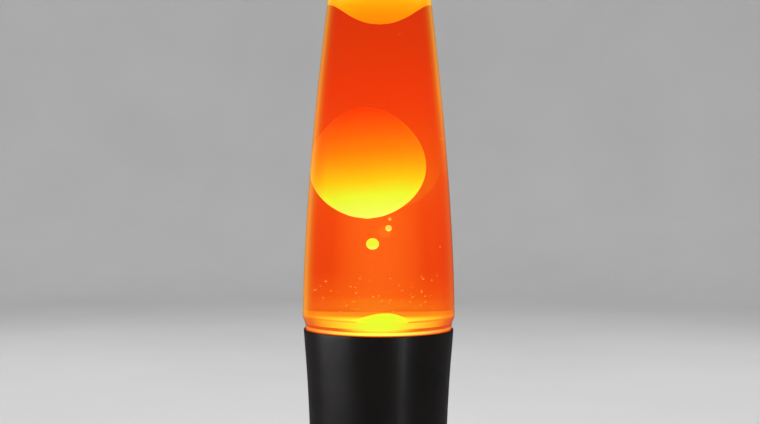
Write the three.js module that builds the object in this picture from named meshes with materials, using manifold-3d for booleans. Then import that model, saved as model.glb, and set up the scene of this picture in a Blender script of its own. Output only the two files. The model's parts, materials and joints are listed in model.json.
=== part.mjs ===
// A seventeen inch lava lamp: a spun two-part base with a bulb inside, a tapered bottle of
// orange liquid and wax standing in its rim, a cap over the bottle's neck, and a mains cord
// with an in-line rocker switch and a flat two-blade plug.
// Units are millimetres. +Z is up, the lamp stands on z = 0 and its axis is the Z axis.
// The cord leaves the base at +Y, so -Y is the front.

import * as THREE from 'three';
import { mergeVertices } from 'three/addons/utils/BufferGeometryUtils.js';
import Module from 'manifold-3d';

// ---------------------------------------------------------------- driving dimensions

const GAP = 0.3; // clearance between pieces that rest on, or fit into, each other

// Base, spun from sheet
const SHEET = 0.9;
const FLOOR_SHEET = 1.2;
const PAD_THICKNESS = 1.6;
const PAD_RADIUS = 45.5;
const SHELL_BOTTOM = PAD_THICKNESS + GAP;
const FOOT_RADIUS = 47;
const WAIST_HEIGHT = 45;
const WAIST_RADIUS = 39.3;
const RIM_HEIGHT = 150;
const RIM_RADIUS = 43.9;
const WALL_POWER = 2; // above 1, the upper shell's wall stays narrow for longer above the waist
const COVER_DISH = 7.1; // height of the bottom cover's raised middle

// Threaded rod through the waist
const ROD_RADIUS = 4.85;
const ROD_BORE = 3.4;
const ROD_CLEARANCE = ROD_RADIUS + GAP;

// Bottle
const GLASS = 3.5;
const BOTTLE_RADIUS = 44.5; // the widest place
const WIDEST_HEIGHT = 157.6;
const BOTTLE_BOTTOM = 141;
const SHOULDER_HEIGHT = 386;
const TAPER_DEPTH = 14.1; // the radius lost over TAPER_LENGTH above the widest place
const TAPER_LENGTH = 184;
const TAPER_POWER = 1.6;
const NECK_RADIUS = 12.8;
const MOUTH_RADIUS = 8.6;
const LIP_HEIGHT = 414;

// Liquid and wax
const LIQUID_TOP = 388;
const CHANNEL_RADIUS = 31.2; // clear space in the liquid for the wax to rise and sink
const POOL_TOP = 154.3;
const MOUND_TOP = 159.5;
const TOP_WAX_BOTTOM = 325.4;
const TOP_WAX_TOP = 356;
const BLOB_RADIUS = 25.4;
const BLOB_HALF_HEIGHT = 32.1;
const BLOB_CENTRE = [ - 5.2, 0, 245.5 ];

// Cap
const CAP_EDGE = 382;
const CAP_TOP = 432;
const CAP_SHEET = 1.2;
const CAP_TAPER = 5;

// Mains cord, a flat twin flex
const CORD_HALF_WIDTH = 2.6;
const CORD_HALF_HEIGHT = 1.3;
const CORD_REST = CORD_HALF_HEIGHT + 0.6; // height of its centre where it lies on the table
const CORD_HOLE_HEIGHT = 13;
const SLOT_ROOM = 1.4; // how much larger than the flex its slots in the switch and plug are

// In-line switch
const SWITCH_CENTRE = [ 50, 128 ];
const SWITCH_LENGTH = 56;
const SWITCH_WIDTH = 24;
const SWITCH_HEIGHT = 16.8;
const SWITCH_SPLIT = 7.5;
const SWITCH_WALL = 1.6;
const ROCKER_PIVOT_HEIGHT = 11.5;
const ROCKER_TILT = THREE.MathUtils.degToRad( 11 );

// Plug
const PLUG_FACE = [ - 96, 158 ];
const PLUG_LENGTH = 30;
const PLUG_HEIGHT = 19;
const BLADE_SPACING = 12.7;

// Number of straight sides that stand for a full circle
const ROUND = 28;
const MIDDLE_ROUND = 24;
const SMALL_ROUND = 16;
const TINY_ROUND = 10;
const VENT_ROUND = 8;
const WIRE_ROUND = 6;

// ---------------------------------------------------------------- helpers

const wasm = await Module();
wasm.setup();

// Turns the faces the other way when the surface encloses a negative volume.
function facesOut( geometry ) {

	const position = geometry.getAttribute( 'position' );
	const index = geometry.getIndex();
	const corners = [ new THREE.Vector3(), new THREE.Vector3(), new THREE.Vector3() ];
	const count = index ? index.count : position.count;
	const vertexAt = ( i ) => ( index ? index.getX( i ) : i );
	let volume = 0;
	for ( let i = 0; i < count; i += 3 ) {

		corners.forEach( ( corner, k ) => corner.fromBufferAttribute( position, vertexAt( i + k ) ) );
		volume += corners[ 0 ].dot( corners[ 1 ].clone().cross( corners[ 2 ] ) );

	}

	if ( volume > 0 ) return geometry;
	const flipped = Array.from( { length: count }, ( _, i ) => vertexAt( i - ( i % 3 ) + 2 - ( i % 3 ) ) );
	geometry.setIndex( flipped );
	return geometry;

}

// Welds a geometry down to bare positions.
function welded( geometry ) {

	const bare = geometry.clone();
	bare.deleteAttribute( 'normal' );
	bare.deleteAttribute( 'uv' );
	return mergeVertices( bare, 1e-4 );

}

function solid( geometry ) {

	const bare = welded( geometry );
	return new wasm.Manifold( new wasm.Mesh( {
		numProp: 3,
		vertProperties: new Float32Array( bare.getAttribute( 'position' ).array ),
		triVerts: new Uint32Array( bare.getIndex().array ),
	} ) );

}

function fromSolid( manifold ) {

	const mesh = manifold.getMesh();
	const geometry = new THREE.BufferGeometry();
	geometry.setAttribute( 'position', new THREE.BufferAttribute( mesh.vertProperties, 3 ) );
	geometry.setIndex( new THREE.BufferAttribute( mesh.triVerts, 1 ) );
	return geometry;

}

// Cuts every tool out of a body.
function cut( body, ...tools ) {

	return fromSolid( tools.reduce( ( rest, tool ) => rest.subtract( solid( tool ) ), solid( body ) ) );

}

// Spins [radius, height] pairs about the Z axis. The profile starts and ends on the axis.
function spin( profile, sides = ROUND ) {

	const points = profile.map( ( [ radius, height ] ) => new THREE.Vector2( radius, height ) );
	return facesOut( new THREE.LatheGeometry( points, sides ).rotateX( Math.PI / 2 ) );

}

// Spins a closed outline that stays off the axis, which makes a ring or a sleeve.
function spinRing( profile, sides = ROUND ) {

	return spin( [ ...profile, profile[ 0 ] ], sides );

}

// A cylinder standing on the Z axis from one height to another.
function rod( radius, bottom, top, sides = SMALL_ROUND ) {

	const geometry = new THREE.CylinderGeometry( radius, radius, top - bottom, sides );
	return geometry.rotateX( Math.PI / 2 ).translate( 0, 0, ( bottom + top ) / 2 );

}

// A box given by its size and its centre.
function block( [ x, y, z ], [ cx, cy, cz ] ) {

	return new THREE.BoxGeometry( x, y, z ).translate( cx, cy, cz );

}

// A bar of the given cross-section along a smooth curve through points.
function sweep( points, outline, steps ) {

	const path = new THREE.CatmullRomCurve3( points.map( ( p ) => new THREE.Vector3( ...p ) ) );
	return facesOut( new THREE.ExtrudeGeometry( outline, { steps, extrudePath: path } ) );

}

function roundOutline( radius, sides ) {

	const corner = ( i ) => 2 * Math.PI * i / sides;
	const at = ( angle ) => new THREE.Vector2( radius * Math.cos( angle ), radius * Math.sin( angle ) );
	return new THREE.Shape( Array.from( { length: sides }, ( _, i ) => at( corner( i ) ) ) );

}

// A plate with rounded corners and bevelled edges, centred on x and y, from z = 0 to its height.
function pillow( length, width, height, corner, bevel, bevelSegments = 2 ) {

	const x = length / 2 - bevel;
	const y = width / 2 - bevel;
	const r = corner - bevel;
	const outline = new THREE.Shape();
	outline.absarc( x - r, y - r, r, 0, Math.PI / 2 );
	outline.absarc( r - x, y - r, r, Math.PI / 2, Math.PI );
	outline.absarc( r - x, r - y, r, Math.PI, 1.5 * Math.PI );
	outline.absarc( x - r, r - y, r, 1.5 * Math.PI, 2 * Math.PI );
	return new THREE.ExtrudeGeometry( outline, {
		depth: height - 2 * bevel, curveSegments: 3,
		bevelSize: bevel, bevelThickness: bevel, bevelSegments,
	} ).translate( 0, 0, bevel );

}

function finish( color, roughness, metalness ) {

	return new THREE.MeshStandardMaterial( { color, roughness, metalness } );

}

const satinBlack = () => finish( 0x14110f, 0.38, 0.6 );
const blackPlastic = () => finish( 0x17171a, 0.5, 0 );
const steel = () => finish( 0xb8bcc0, 0.35, 1 );
const brass = () => finish( 0xc9a35a, 0.3, 1 );
const wax = () => finish( 0xffc21c, 0.35, 0 );
const orangeLiquid = () => finish( 0xff5a0a, 0.1, 0 );

function piece( name, geometry, material, position = [ 0, 0, 0 ] ) {

	const mesh = new THREE.Mesh( geometry, material );
	mesh.name = name;
	mesh.position.set( ...position );
	return mesh;

}

function assembly( ...children ) {

	return new THREE.Group().add( ...children );

}

// ---------------------------------------------------------------- base

const upperFloor = WAIST_HEIGHT + GAP / 2;
const lowerTop = WAIST_HEIGHT - GAP / 2;

// The two floors at the waist share one hole for the rod, one for the wires and a ring of vents.
const WIRE_HOLE_RADIUS = 5.5;
const WIRE_HOLE_PLACE = 20;
const VENT_RADIUS = 3.2;
const VENT_RING = 25;
const VENT_ANGLES = [ - 18, - 90, - 162 ];

function waistCutters() {

	const below = WAIST_HEIGHT - 4;
	const above = WAIST_HEIGHT + 4;
	const vents = VENT_ANGLES.map( ( degrees ) => {

		const angle = THREE.MathUtils.degToRad( degrees );
		const place = [ VENT_RING * Math.cos( angle ), VENT_RING * Math.sin( angle ), 0 ];
		return rod( VENT_RADIUS, below, above, VENT_ROUND ).translate( ...place );

	} );
	const wireHole = rod( WIRE_HOLE_RADIUS, below, above, TINY_ROUND ).translate( 0, WIRE_HOLE_PLACE, 0 );
	return [ wireHole, ...vents ];

}

// The outer radius of the upper shell, which narrows from the rim down to the waist.
function wall( z ) {

	const along = ( z - WAIST_HEIGHT ) / ( RIM_HEIGHT - WAIST_HEIGHT );
	return WAIST_RADIUS + ( RIM_RADIUS - WAIST_RADIUS ) * along ** WALL_POWER;

}

// A spun cup with a rolled rim.
function upperShell() {

	const corner = 1.2;
	const heights = [ 71, 97, 123 ];
	const outside = heights.map( ( z ) => [ wall( z ), z ] );
	const inside = heights.map( ( z ) => [ wall( z ) - SHEET, z ] ).reverse();
	return spinRing( [
		[ ROD_CLEARANCE, upperFloor ],
		[ WAIST_RADIUS - corner, upperFloor ],
		[ WAIST_RADIUS - 0.35 * corner, upperFloor + 0.3 * corner ],
		[ wall( upperFloor + corner ), upperFloor + corner ],
		...outside,
		[ wall( RIM_HEIGHT - 1 ), RIM_HEIGHT - 1 ],
		[ wall( RIM_HEIGHT ) - 0.1, RIM_HEIGHT - 0.3 ],
		[ RIM_RADIUS - SHEET / 2, RIM_HEIGHT ],
		[ RIM_RADIUS - SHEET + 0.1, RIM_HEIGHT - 0.3 ],
		[ wall( RIM_HEIGHT - 1 ) - SHEET, RIM_HEIGHT - 1 ],
		...inside,
		[ wall( upperFloor + 1.6 ) - SHEET, upperFloor + 1.6 ],
		[ WAIST_RADIUS - SHEET - 0.8, upperFloor + FLOOR_SHEET ],
		[ ROD_CLEARANCE, upperFloor + FLOOR_SHEET ],
	] );

}

// The lower shell flares from the waist to the foot.
function flare( z ) {

	const FLARE_POWER = 1.35;
	const along = ( lowerTop - z ) / ( lowerTop - SHELL_BOTTOM );
	return WAIST_RADIUS + ( FOOT_RADIUS - WAIST_RADIUS ) * along ** FLARE_POWER;

}

function lowerShell() {

	const heights = [ SHELL_BOTTOM, 9, 18, 28, 38 ];
	const outside = heights.map( ( z ) => [ flare( z ), z ] );
	const inside = heights.map( ( z ) => [ flare( z ) - SHEET, z ] ).reverse();
	const corner = 1.1;
	return spinRing( [
		...outside,
		[ WAIST_RADIUS, lowerTop - corner ],
		[ WAIST_RADIUS - 0.35 * corner, lowerTop - 0.3 * corner ],
		[ WAIST_RADIUS - corner, lowerTop ],
		[ ROD_CLEARANCE, lowerTop ],
		[ ROD_CLEARANCE, lowerTop - FLOOR_SHEET ],
		[ WAIST_RADIUS - SHEET - 0.6, lowerTop - FLOOR_SHEET ],
		...inside,
	] );

}

// The cord bush stands square to the flared wall at the back of the lower shell.
const bushTilt = Math.atan( ( flare( CORD_HOLE_HEIGHT - 1 ) - flare( CORD_HOLE_HEIGHT + 1 ) ) / 2 );
const bushPlace = [ 0, flare( CORD_HOLE_HEIGHT ) - SHEET / 2, CORD_HOLE_HEIGHT ];
const BUSH_RADIUS = 4;
const BUSH_FLANGE = 5.6;
const BUSH_BORE = 3.15;

// Turns a shape that stands on the Z axis so that it points out through the wall.
function throughWall( geometry ) {

	return geometry.rotateX( bushTilt - Math.PI / 2 ).translate( ...bushPlace );

}

// A pressed plate that closes the bottom, dished up in the middle over the rod's end nut.
function bottomCover() {

	const rimTop = 5.4;
	const face = SHELL_BOTTOM;
	const plate = spinRing( [
		[ ROD_CLEARANCE, COVER_DISH ],
		[ 13.5, COVER_DISH ],
		[ 17.5, face ],
		[ flare( face ) - SHEET - 1, face ],
		[ flare( face ) - SHEET - 0.6, face + 0.4 ],
		[ flare( rimTop ) - SHEET - 0.4, rimTop ],
		[ flare( rimTop ) - SHEET - 1.3, rimTop ],
		[ flare( face ) - SHEET - 1.7, face + 1 ],
		[ 18.2, face + 1 ],
		[ 14.2, COVER_DISH + 1 ],
		[ ROD_CLEARANCE, COVER_DISH + 1 ],
	] );
	const SLOTS = 6;
	const slots = Array.from( { length: SLOTS }, ( _, i ) => block( [ 14, 3, 6 ], [ 31, 0, face ] )
		.rotateZ( ( i + 0.5 ) * 2 * Math.PI / SLOTS ) );
	return cut( plate, ...slots );

}

// A six-sided nut standing on z = 0.
function nut() {

	const sides = 6;
	const corner = NUT_ACROSS / 2 / Math.cos( Math.PI / sides );
	return cut( rod( corner, 0, NUT_HEIGHT, sides ), rod( ROD_CLEARANCE, - 1, NUT_HEIGHT + 1 ) );

}

// A split spring washer standing on z = 0.
function springWasher( height ) {

	const ring = spinRing( [
		[ ROD_CLEARANCE, 0 ], [ 8.6, 0 ], [ 8.6, height ], [ ROD_CLEARANCE, height ],
	], SMALL_ROUND );
	return cut( ring, block( [ 8, 1.2, 6 ], [ 8, 0, 0 ] ).rotateY( 0.3 ) );

}

const WASHER_HEIGHT = 1.5;
const NUT_ACROSS = 14;
const NUT_HEIGHT = 3.2;
const washerBottom = upperFloor + FLOOR_SHEET + GAP;
const topNutBottom = washerBottom + WASHER_HEIGHT + GAP;
const holderBottom = topNutBottom + NUT_HEIGHT + GAP;
const ROD_BOTTOM = 3;
const rodTop = holderBottom + 6.5;

function makeBase() {

	const cordHole = throughWall( rod( BUSH_RADIUS + GAP, - 5, 5 ) );
	return assembly(
		piece( 'base_upper_shell', cut( upperShell(), ...waistCutters() ), satinBlack() ),
		piece( 'base_lower_shell', cut( lowerShell(), ...waistCutters(), cordHole ), satinBlack() ),
		piece( 'bottom_cover', bottomCover(), finish( 0x2a2a2c, 0.45, 0.8 ) ),
		piece( 'foot_pad', rod( PAD_RADIUS, 0, PAD_THICKNESS, ROUND ), finish( 0x1b1b1b, 0.9, 0 ) ),
		piece( 'threaded_rod', spinRing( [
			[ ROD_BORE, ROD_BOTTOM ], [ ROD_RADIUS - 0.5, ROD_BOTTOM ], [ ROD_RADIUS, ROD_BOTTOM + 0.5 ],
			[ ROD_RADIUS, rodTop - 0.5 ], [ ROD_RADIUS - 0.5, rodTop ], [ ROD_BORE, rodTop ],
		], SMALL_ROUND ), steel() ),
		piece( 'rod_nut_bottom', nut(), steel(), [ 0, 0, COVER_DISH - GAP - NUT_HEIGHT ] ),
		piece( 'rod_washer', springWasher( WASHER_HEIGHT ), steel(), [ 0, 0, washerBottom ] ),
		piece( 'rod_nut_top', nut(), steel(), [ 0, 0, topNutBottom ] ),
	);

}

// ---------------------------------------------------------------- lamp holder and wires

const HOLDER_RADIUS = 19.5;
const HOLDER_HEIGHT = 40;
const HOLDER_FLOOR = 11;
const HOLDER_BORE = 14.9;
const TERMINAL_HEIGHT = 5; // above the holder's underside
const TERMINAL_SHANK = 1.4;

// A porcelain cup. Its foot takes the rod, and its bore holds the screw shell.
function holderBody() {

	const cup = spinRing( [
		[ ROD_CLEARANCE, 0 ], [ 17, 0 ], [ 18, 1 ], [ 18, 8 ], [ HOLDER_RADIUS, 10 ],
		[ HOLDER_RADIUS, HOLDER_HEIGHT - 1.5 ], [ HOLDER_RADIUS - 1.2, HOLDER_HEIGHT ],
		[ HOLDER_BORE, HOLDER_HEIGHT ], [ HOLDER_BORE, HOLDER_FLOOR ], [ ROD_CLEARANCE, HOLDER_FLOOR ],
	], SMALL_ROUND );
	const hole = ( side ) => rod( TERMINAL_SHANK + GAP, 11, 22, TINY_ROUND )
		.rotateY( side * Math.PI / 2 ).translate( 0, 0, TERMINAL_HEIGHT );
	return cut( cup, hole( 1 ), hole( - 1 ) );

}

// Sheet brass with rolled thread rings, clear of the bulb's own thread.
function screwShell() {

	const PITCH = 3.6;
	const RINGS = 3;
	const bottom = HOLDER_FLOOR + 4;
	const outside = [];
	for ( let i = 0; i <= 2 * RINGS; i ++ ) {

		outside.push( [ i % 2 ? 14.55 : 14.2, bottom + i * PITCH / 2 ] );

	}

	const inside = outside.map( ( [ radius, z ] ) => [ radius - 0.5, z ] ).reverse();
	return spinRing( [ ...outside, ...inside ], SMALL_ROUND );

}

function terminalScrew() {

	return spin( [
		[ 0, 0 ], [ TERMINAL_SHANK, 0 ], [ TERMINAL_SHANK, 6 ],
		[ 2.8, 6 ], [ 2.8, 7.2 ], [ 1.8, 7.8 ], [ 0, 7.8 ],
	], TINY_ROUND );

}

function makeHolder() {

	const screw = ( name, side ) => {

		const made = piece( name, terminalScrew(), brass(), [ side * 12.3, 0, TERMINAL_HEIGHT ] );
		made.rotation.y = side * Math.PI / 2;
		return made;

	};

	const contact = spin( [
		[ 0, 0 ], [ 4, 0 ], [ 4, 0.6 ], [ 2.2, 1.3 ], [ 0, 1.3 ],
	], TINY_ROUND );
	const holder = assembly(
		piece( 'lamp_holder_body', holderBody(), finish( 0xe9e5dc, 0.3, 0 ) ),
		piece( 'holder_screw_shell', screwShell(), brass() ),
		piece( 'holder_centre_contact', cut( contact, block( [ 1, 6, 1 ], [ 0, 0, - 0.3 ] ) ), brass(),
			[ 0, 0, HOLDER_FLOOR + GAP ] ),
		screw( 'terminal_screw_live', - 1 ),
		screw( 'terminal_screw_neutral', 1 ),
	);
	holder.position.z = holderBottom;
	return holder;

}

// Where the flex ends inside the base, and its two wires go on.
const inward = [ 0, - Math.cos( bushTilt ), - Math.sin( bushTilt ) ];
const alongBush = ( distance ) => bushPlace.map( ( value, i ) => value - distance * inward[ i ] );
const CORD_INSIDE = - 7;

function innerWire( side ) {

	const [ , startY, startZ ] = alongBush( CORD_INSIDE - 0.5 );
	const points = [
		[ side * 1.3, startY, startZ ],
		[ side * 2, 27, 12 ],
		[ side * 2.2, WIRE_HOLE_PLACE, 24 ],
		[ side * 2.2, WIRE_HOLE_PLACE, 46 ],
		[ side * 5, 21.5, 49.5 ],
		[ side * 17, 15, holderBottom + 3 ],
		[ side * 22, 3, holderBottom + TERMINAL_HEIGHT ],
	];
	return sweep( points, roundOutline( 1, WIRE_ROUND ), 18 );

}

function makeWires() {

	return assembly(
		piece( 'wire_live', innerWire( - 1 ), finish( 0x141414, 0.5, 0 ) ),
		piece( 'wire_neutral', innerWire( 1 ), finish( 0xdfe0dc, 0.5, 0 ) ),
	);

}

// ---------------------------------------------------------------- bulb

// Heights are measured from the tip of the bulb's centre contact.
const BULB_CAP_BOTTOM = 5.1;
const BULB_CAP_TOP = 27;
const BULB_HEIGHT = 67;
const BULB_RADIUS = 22.4;
const FILAMENT_HEIGHT = 48;

function bulbCap() {

	const PITCH = 3.6;
	const outside = [];
	for ( let i = 0; i <= 8; i ++ ) {

		outside.push( [ i % 2 ? 13.1 : 12.5, BULB_CAP_BOTTOM + 2 + i * PITCH / 2 ] );

	}

	return spinRing( [
		[ 11.5, BULB_CAP_BOTTOM ], ...outside, [ 12.5, BULB_CAP_TOP ], [ 12, BULB_CAP_TOP ],
		[ 12, BULB_CAP_BOTTOM + 1.8 ], [ 11.4, BULB_CAP_BOTTOM + 0.5 ],
	], SMALL_ROUND );

}

// A thin pear with its open neck cemented in the screw cap.
function bulbEnvelope() {

	const WALL = 0.8;
	const neck = 11.4;
	const centre = BULB_HEIGHT - BULB_RADIUS + 2.5;
	const outside = [ [ neck, 21.5 ], [ neck + 0.2, 28 ], [ 14.2, 32 ], [ 18.9, 38.5 ] ];
	const STEPS = 5;
	for ( let i = 0; i <= STEPS; i ++ ) {

		const angle = - 0.14 + ( Math.PI / 2 + 0.14 ) * i / STEPS;
		const radius = i === STEPS ? 0 : BULB_RADIUS * Math.cos( angle );
		outside.push( [ radius, centre + ( BULB_HEIGHT - centre ) * Math.sin( angle ) ] );

	}

	const shrink = ( BULB_RADIUS - WALL ) / BULB_RADIUS;
	const inside = outside.map( ( [ radius, z ] ) => [
		radius * shrink, centre + ( z - centre ) * shrink,
	] );
	inside[ 0 ] = [ neck - WALL, 21.5 ];
	return spin( [ ...inside.reverse(), ...outside ], SMALL_ROUND );

}

function bulbLead( side ) {

	const points = [
		[ side * 3.8, 0, 27 ], [ side * 4.2, 0, 34 ], [ side * 7, 0, 42 ], [ side * 8, 0, FILAMENT_HEIGHT ],
	];
	return sweep( points, roundOutline( 0.4, WIRE_ROUND ), 6 );

}

function makeBulb() {

	const filamentPoints = [ - 1, - 0.5, 0, 0.5, 1 ].map( ( t ) => [
		7.9 * t, - 5 * ( 1 - t * t ), FILAMENT_HEIGHT + 1.1 + 0.8 * ( 1 - t * t ),
	] );
	const filament = sweep( filamentPoints, roundOutline( 0.45, WIRE_ROUND ), 10 );
	const tip = spin( [ [ 0, 0 ], [ 3, 0.2 ], [ 4.6, 1.3 ], [ 4.6, 2 ], [ 0, 2 ] ], TINY_ROUND );
	const bulb = assembly(
		piece( 'bulb_tip_contact', tip, finish( 0xa9adb0, 0.4, 1 ) ),
		piece( 'bulb_insulator', spin( [
			[ 0, 2.3 ], [ 5, 2.3 ], [ 11, 5.1 ], [ 11, 6.3 ], [ 0, 6.3 ],
		], SMALL_ROUND ), finish( 0x1a1714, 0.2, 0 ) ),
		piece( 'bulb_screw_cap', bulbCap(), steel() ),
		piece( 'bulb_envelope', bulbEnvelope(), finish( 0xfff3d6, 0.1, 0 ) ),
		piece( 'bulb_stem', spin( [
			[ 0, 20 ], [ 3.2, 20 ], [ 3, 30 ], [ 1.6, 38 ], [ 0, 39 ],
		], TINY_ROUND ), finish( 0xe8eef0, 0.1, 0 ) ),
		piece( 'bulb_lead_left', bulbLead( - 1 ), steel() ),
		piece( 'bulb_lead_right', bulbLead( 1 ), steel() ),
		piece( 'bulb_filament', filament, finish( 0xffb347, 0.4, 1 ) ),
	);
	bulb.position.z = holderBottom + HOLDER_FLOOR + GAP + 1.3 + GAP;
	return bulb;

}

// ---------------------------------------------------------------- bottle, liquid and wax

// The bottle's outer radius above its widest place.
function bottleRadius( z ) {

	const along = Math.max( z - WIDEST_HEIGHT, 0 ) / TAPER_LENGTH;
	return BOTTLE_RADIUS - TAPER_DEPTH * along ** TAPER_POWER;

}

const boreRadius = ( z ) => bottleRadius( z ) - GLASS;

// Heights up the taper, closer together near the widest place, where it curves most.
function taperHeights( bottom, top, count ) {

	const height = ( i ) => bottom + ( top - bottom ) * ( i / count ) ** 1.2;
	return Array.from( { length: count + 1 }, ( _, i ) => height( i ) );

}

// The outside runs from the raised middle of the bottom, round the heel, up the taper and the
// neck to the lip. The inside comes back down to the floor.
function glassBottle() {

	const outside = taperHeights( WIDEST_HEIGHT, SHOULDER_HEIGHT, 8 )
		.map( ( z ) => [ bottleRadius( z ), z ] );
	const inside = taperHeights( WIDEST_HEIGHT, SHOULDER_HEIGHT - 2, 6 )
		.map( ( z ) => [ boreRadius( z ), z ] ).reverse();
	return spin( [
		[ 0, BOTTLE_BOTTOM + 5 ], [ 14, BOTTLE_BOTTOM + 4.3 ], [ 24, BOTTLE_BOTTOM + 2.2 ],
		[ 29, BOTTLE_BOTTOM ], [ 34, BOTTLE_BOTTOM ], [ 38.8, BOTTLE_BOTTOM + 1.4 ],
		[ 41.4, BOTTLE_BOTTOM + 3.6 ], [ 42.35, BOTTLE_BOTTOM + 6.5 ], [ 42.6, RIM_HEIGHT ],
		[ 43, RIM_HEIGHT + 3 ], [ 43.55, RIM_HEIGHT + 4.8 ], [ 44.1, RIM_HEIGHT + 6.1 ],
		...outside,
		[ 22.4, SHOULDER_HEIGHT + 3.8 ], [ 18.8, SHOULDER_HEIGHT + 8 ], [ 14.8, SHOULDER_HEIGHT + 12 ],
		[ NECK_RADIUS + 0.2, SHOULDER_HEIGHT + 16 ], [ NECK_RADIUS, LIP_HEIGHT - 6.5 ],
		[ NECK_RADIUS + 0.6, LIP_HEIGHT - 5.2 ], [ NECK_RADIUS + 0.6, LIP_HEIGHT - 2 ],
		[ NECK_RADIUS - 0.8, LIP_HEIGHT - 0.3 ], [ NECK_RADIUS - 2, LIP_HEIGHT ],
		[ MOUTH_RADIUS + 0.6, LIP_HEIGHT ], [ MOUTH_RADIUS, LIP_HEIGHT - 0.8 ],
		[ MOUTH_RADIUS, SHOULDER_HEIGHT + 15 ], [ 11.4, SHOULDER_HEIGHT + 11 ],
		[ 15.8, SHOULDER_HEIGHT + 6.6 ], [ 18.9, SHOULDER_HEIGHT + 2.4 ],
		...inside,
		[ 40.3, RIM_HEIGHT + 3 ], [ 38.8, RIM_HEIGHT - 1 ], [ 36.3, RIM_HEIGHT - 3.4 ],
		[ 33, BOTTLE_BOTTOM + 4.2 ], [ 28, BOTTLE_BOTTOM + 4.6 ], [ 16, BOTTLE_BOTTOM + 8 ],
		[ 0, BOTTLE_BOTTOM + 8.8 ],
	] );

}

// The bowl-shaped underside of the top wax, from the middle outwards.
const TOP_WAX_BOWL = [ [ 0, 0 ], [ 6, 1.3 ], [ 12, 5 ], [ 16, 9 ], [ 20, 13 ], [ 23.4, 15.2 ] ]
	.map( ( [ radius, rise ] ) => [ radius, TOP_WAX_BOTTOM + rise ] );

// The liquid below the top wax, as a sleeve round the channel in which the wax rises.
function liquidColumn() {

	const bottom = POOL_TOP + 0.7;
	const edge = TOP_WAX_BOTTOM + 15.3;
	const outside = taperHeights( WIDEST_HEIGHT, edge, 6 ).map( ( z ) => [ boreRadius( z ) - GAP, z ] );
	const underBowl = TOP_WAX_BOWL.slice( 3 ).map( ( [ radius, z ] ) => [ radius, z - 0.8 ] ).reverse();
	return spinRing( [
		[ CHANNEL_RADIUS, bottom ], [ 40.2, bottom ], ...outside, ...underBowl,
		[ 16, TOP_WAX_BOTTOM + 5 ], [ 21.5, TOP_WAX_BOTTOM - 12.4 ], [ 26.5, TOP_WAX_BOTTOM - 21.4 ],
		[ CHANNEL_RADIUS, TOP_WAX_BOTTOM - 35.5 ],
	] );

}

// The liquid above the top wax, up to its level in the shoulder.
function liquidNeck() {

	const outside = [ 353.6, 364, 375, 384 ].map( ( z ) => [ boreRadius( z ) - GAP, z ] );
	return spin( [
		[ 0, TOP_WAX_TOP + 0.4 ], [ 11, TOP_WAX_TOP - 0.4 ], [ 20, TOP_WAX_TOP - 2 ], ...outside,
		[ 18.4, LIQUID_TOP ], [ 0, LIQUID_TOP ],
	] );

}

// The wax that spans the bottle at the top, with a domed upper side.
function topWax() {

	const outside = [ TOP_WAX_BOTTOM + 16.4, 347 ].map( ( z ) => [ boreRadius( z ) - 0.5, z ] );
	return spin( [
		...TOP_WAX_BOWL, ...outside, [ 23.4, TOP_WAX_TOP - 4.6 ],
		[ 20, TOP_WAX_TOP - 2.6 ], [ 11, TOP_WAX_TOP - 0.8 ], [ 0, TOP_WAX_TOP ],
	] );

}

// The wax lying in the bottom, with a low mound in the middle and a recess below for the coil.
function poolWax() {

	const floor = BOTTLE_BOTTOM + GAP;
	const recess = 151.4;
	return spin( [
		[ 0, floor + 8.9 ], [ 16, floor + 8.1 ], [ 29.4, floor + 4.9 ], [ 29.4, recess ],
		[ 39.2, recess ], [ 39.8, 153 ], [ 40, POOL_TOP ], [ 36, POOL_TOP + 0.1 ], [ 20, POOL_TOP ],
		[ 13, POOL_TOP + 0.6 ], [ 9, MOUND_TOP - 2.8 ], [ 5, MOUND_TOP - 0.8 ], [ 0, MOUND_TOP ],
	] );

}

// An egg a little fuller below its middle, and a little leaner than an ellipse above and below.
function eggWax() {

	const STEPS = 10;
	const profile = Array.from( { length: STEPS + 1 }, ( _, i ) => {

		const angle = - Math.PI / 2 + Math.PI * i / STEPS;
		const onAxis = i === 0 || i === STEPS;
		const radius = BLOB_RADIUS * Math.cos( angle ) ** 1.12 * ( 1 - 0.07 * Math.sin( angle ) );
		return [ onAxis ? 0 : radius, BLOB_HALF_HEIGHT * Math.sin( angle ) ];

	} );
	return spin( profile, MIDDLE_ROUND );

}

function bead( name, radius, halfHeight, place ) {

	return piece( name, new THREE.SphereGeometry( radius, 10, 6 )
		.rotateX( Math.PI / 2 ).scale( 1, 1, halfHeight / radius ), wax(), place );

}

// A fine spring bent into a ring, which lies in the bottom wax.
function springRing() {

	const RING = 33.2;
	const COIL = 2;
	const TURNS = 20;
	const PER_TURN = 5;
	const open = 0.08; // radians left between the two ends
	const points = [];
	for ( let i = 0; i <= TURNS * PER_TURN; i ++ ) {

		const around = open / 2 + ( 2 * Math.PI - open ) * i / ( TURNS * PER_TURN );
		const wind = 2 * Math.PI * i / PER_TURN;
		const radius = RING + COIL * Math.cos( wind );
		points.push( [ radius * Math.cos( around ), radius * Math.sin( around ), COIL * Math.sin( wind ) ] );

	}

	return sweep( points, roundOutline( 0.4, 3 ), TURNS * PER_TURN );

}

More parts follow.
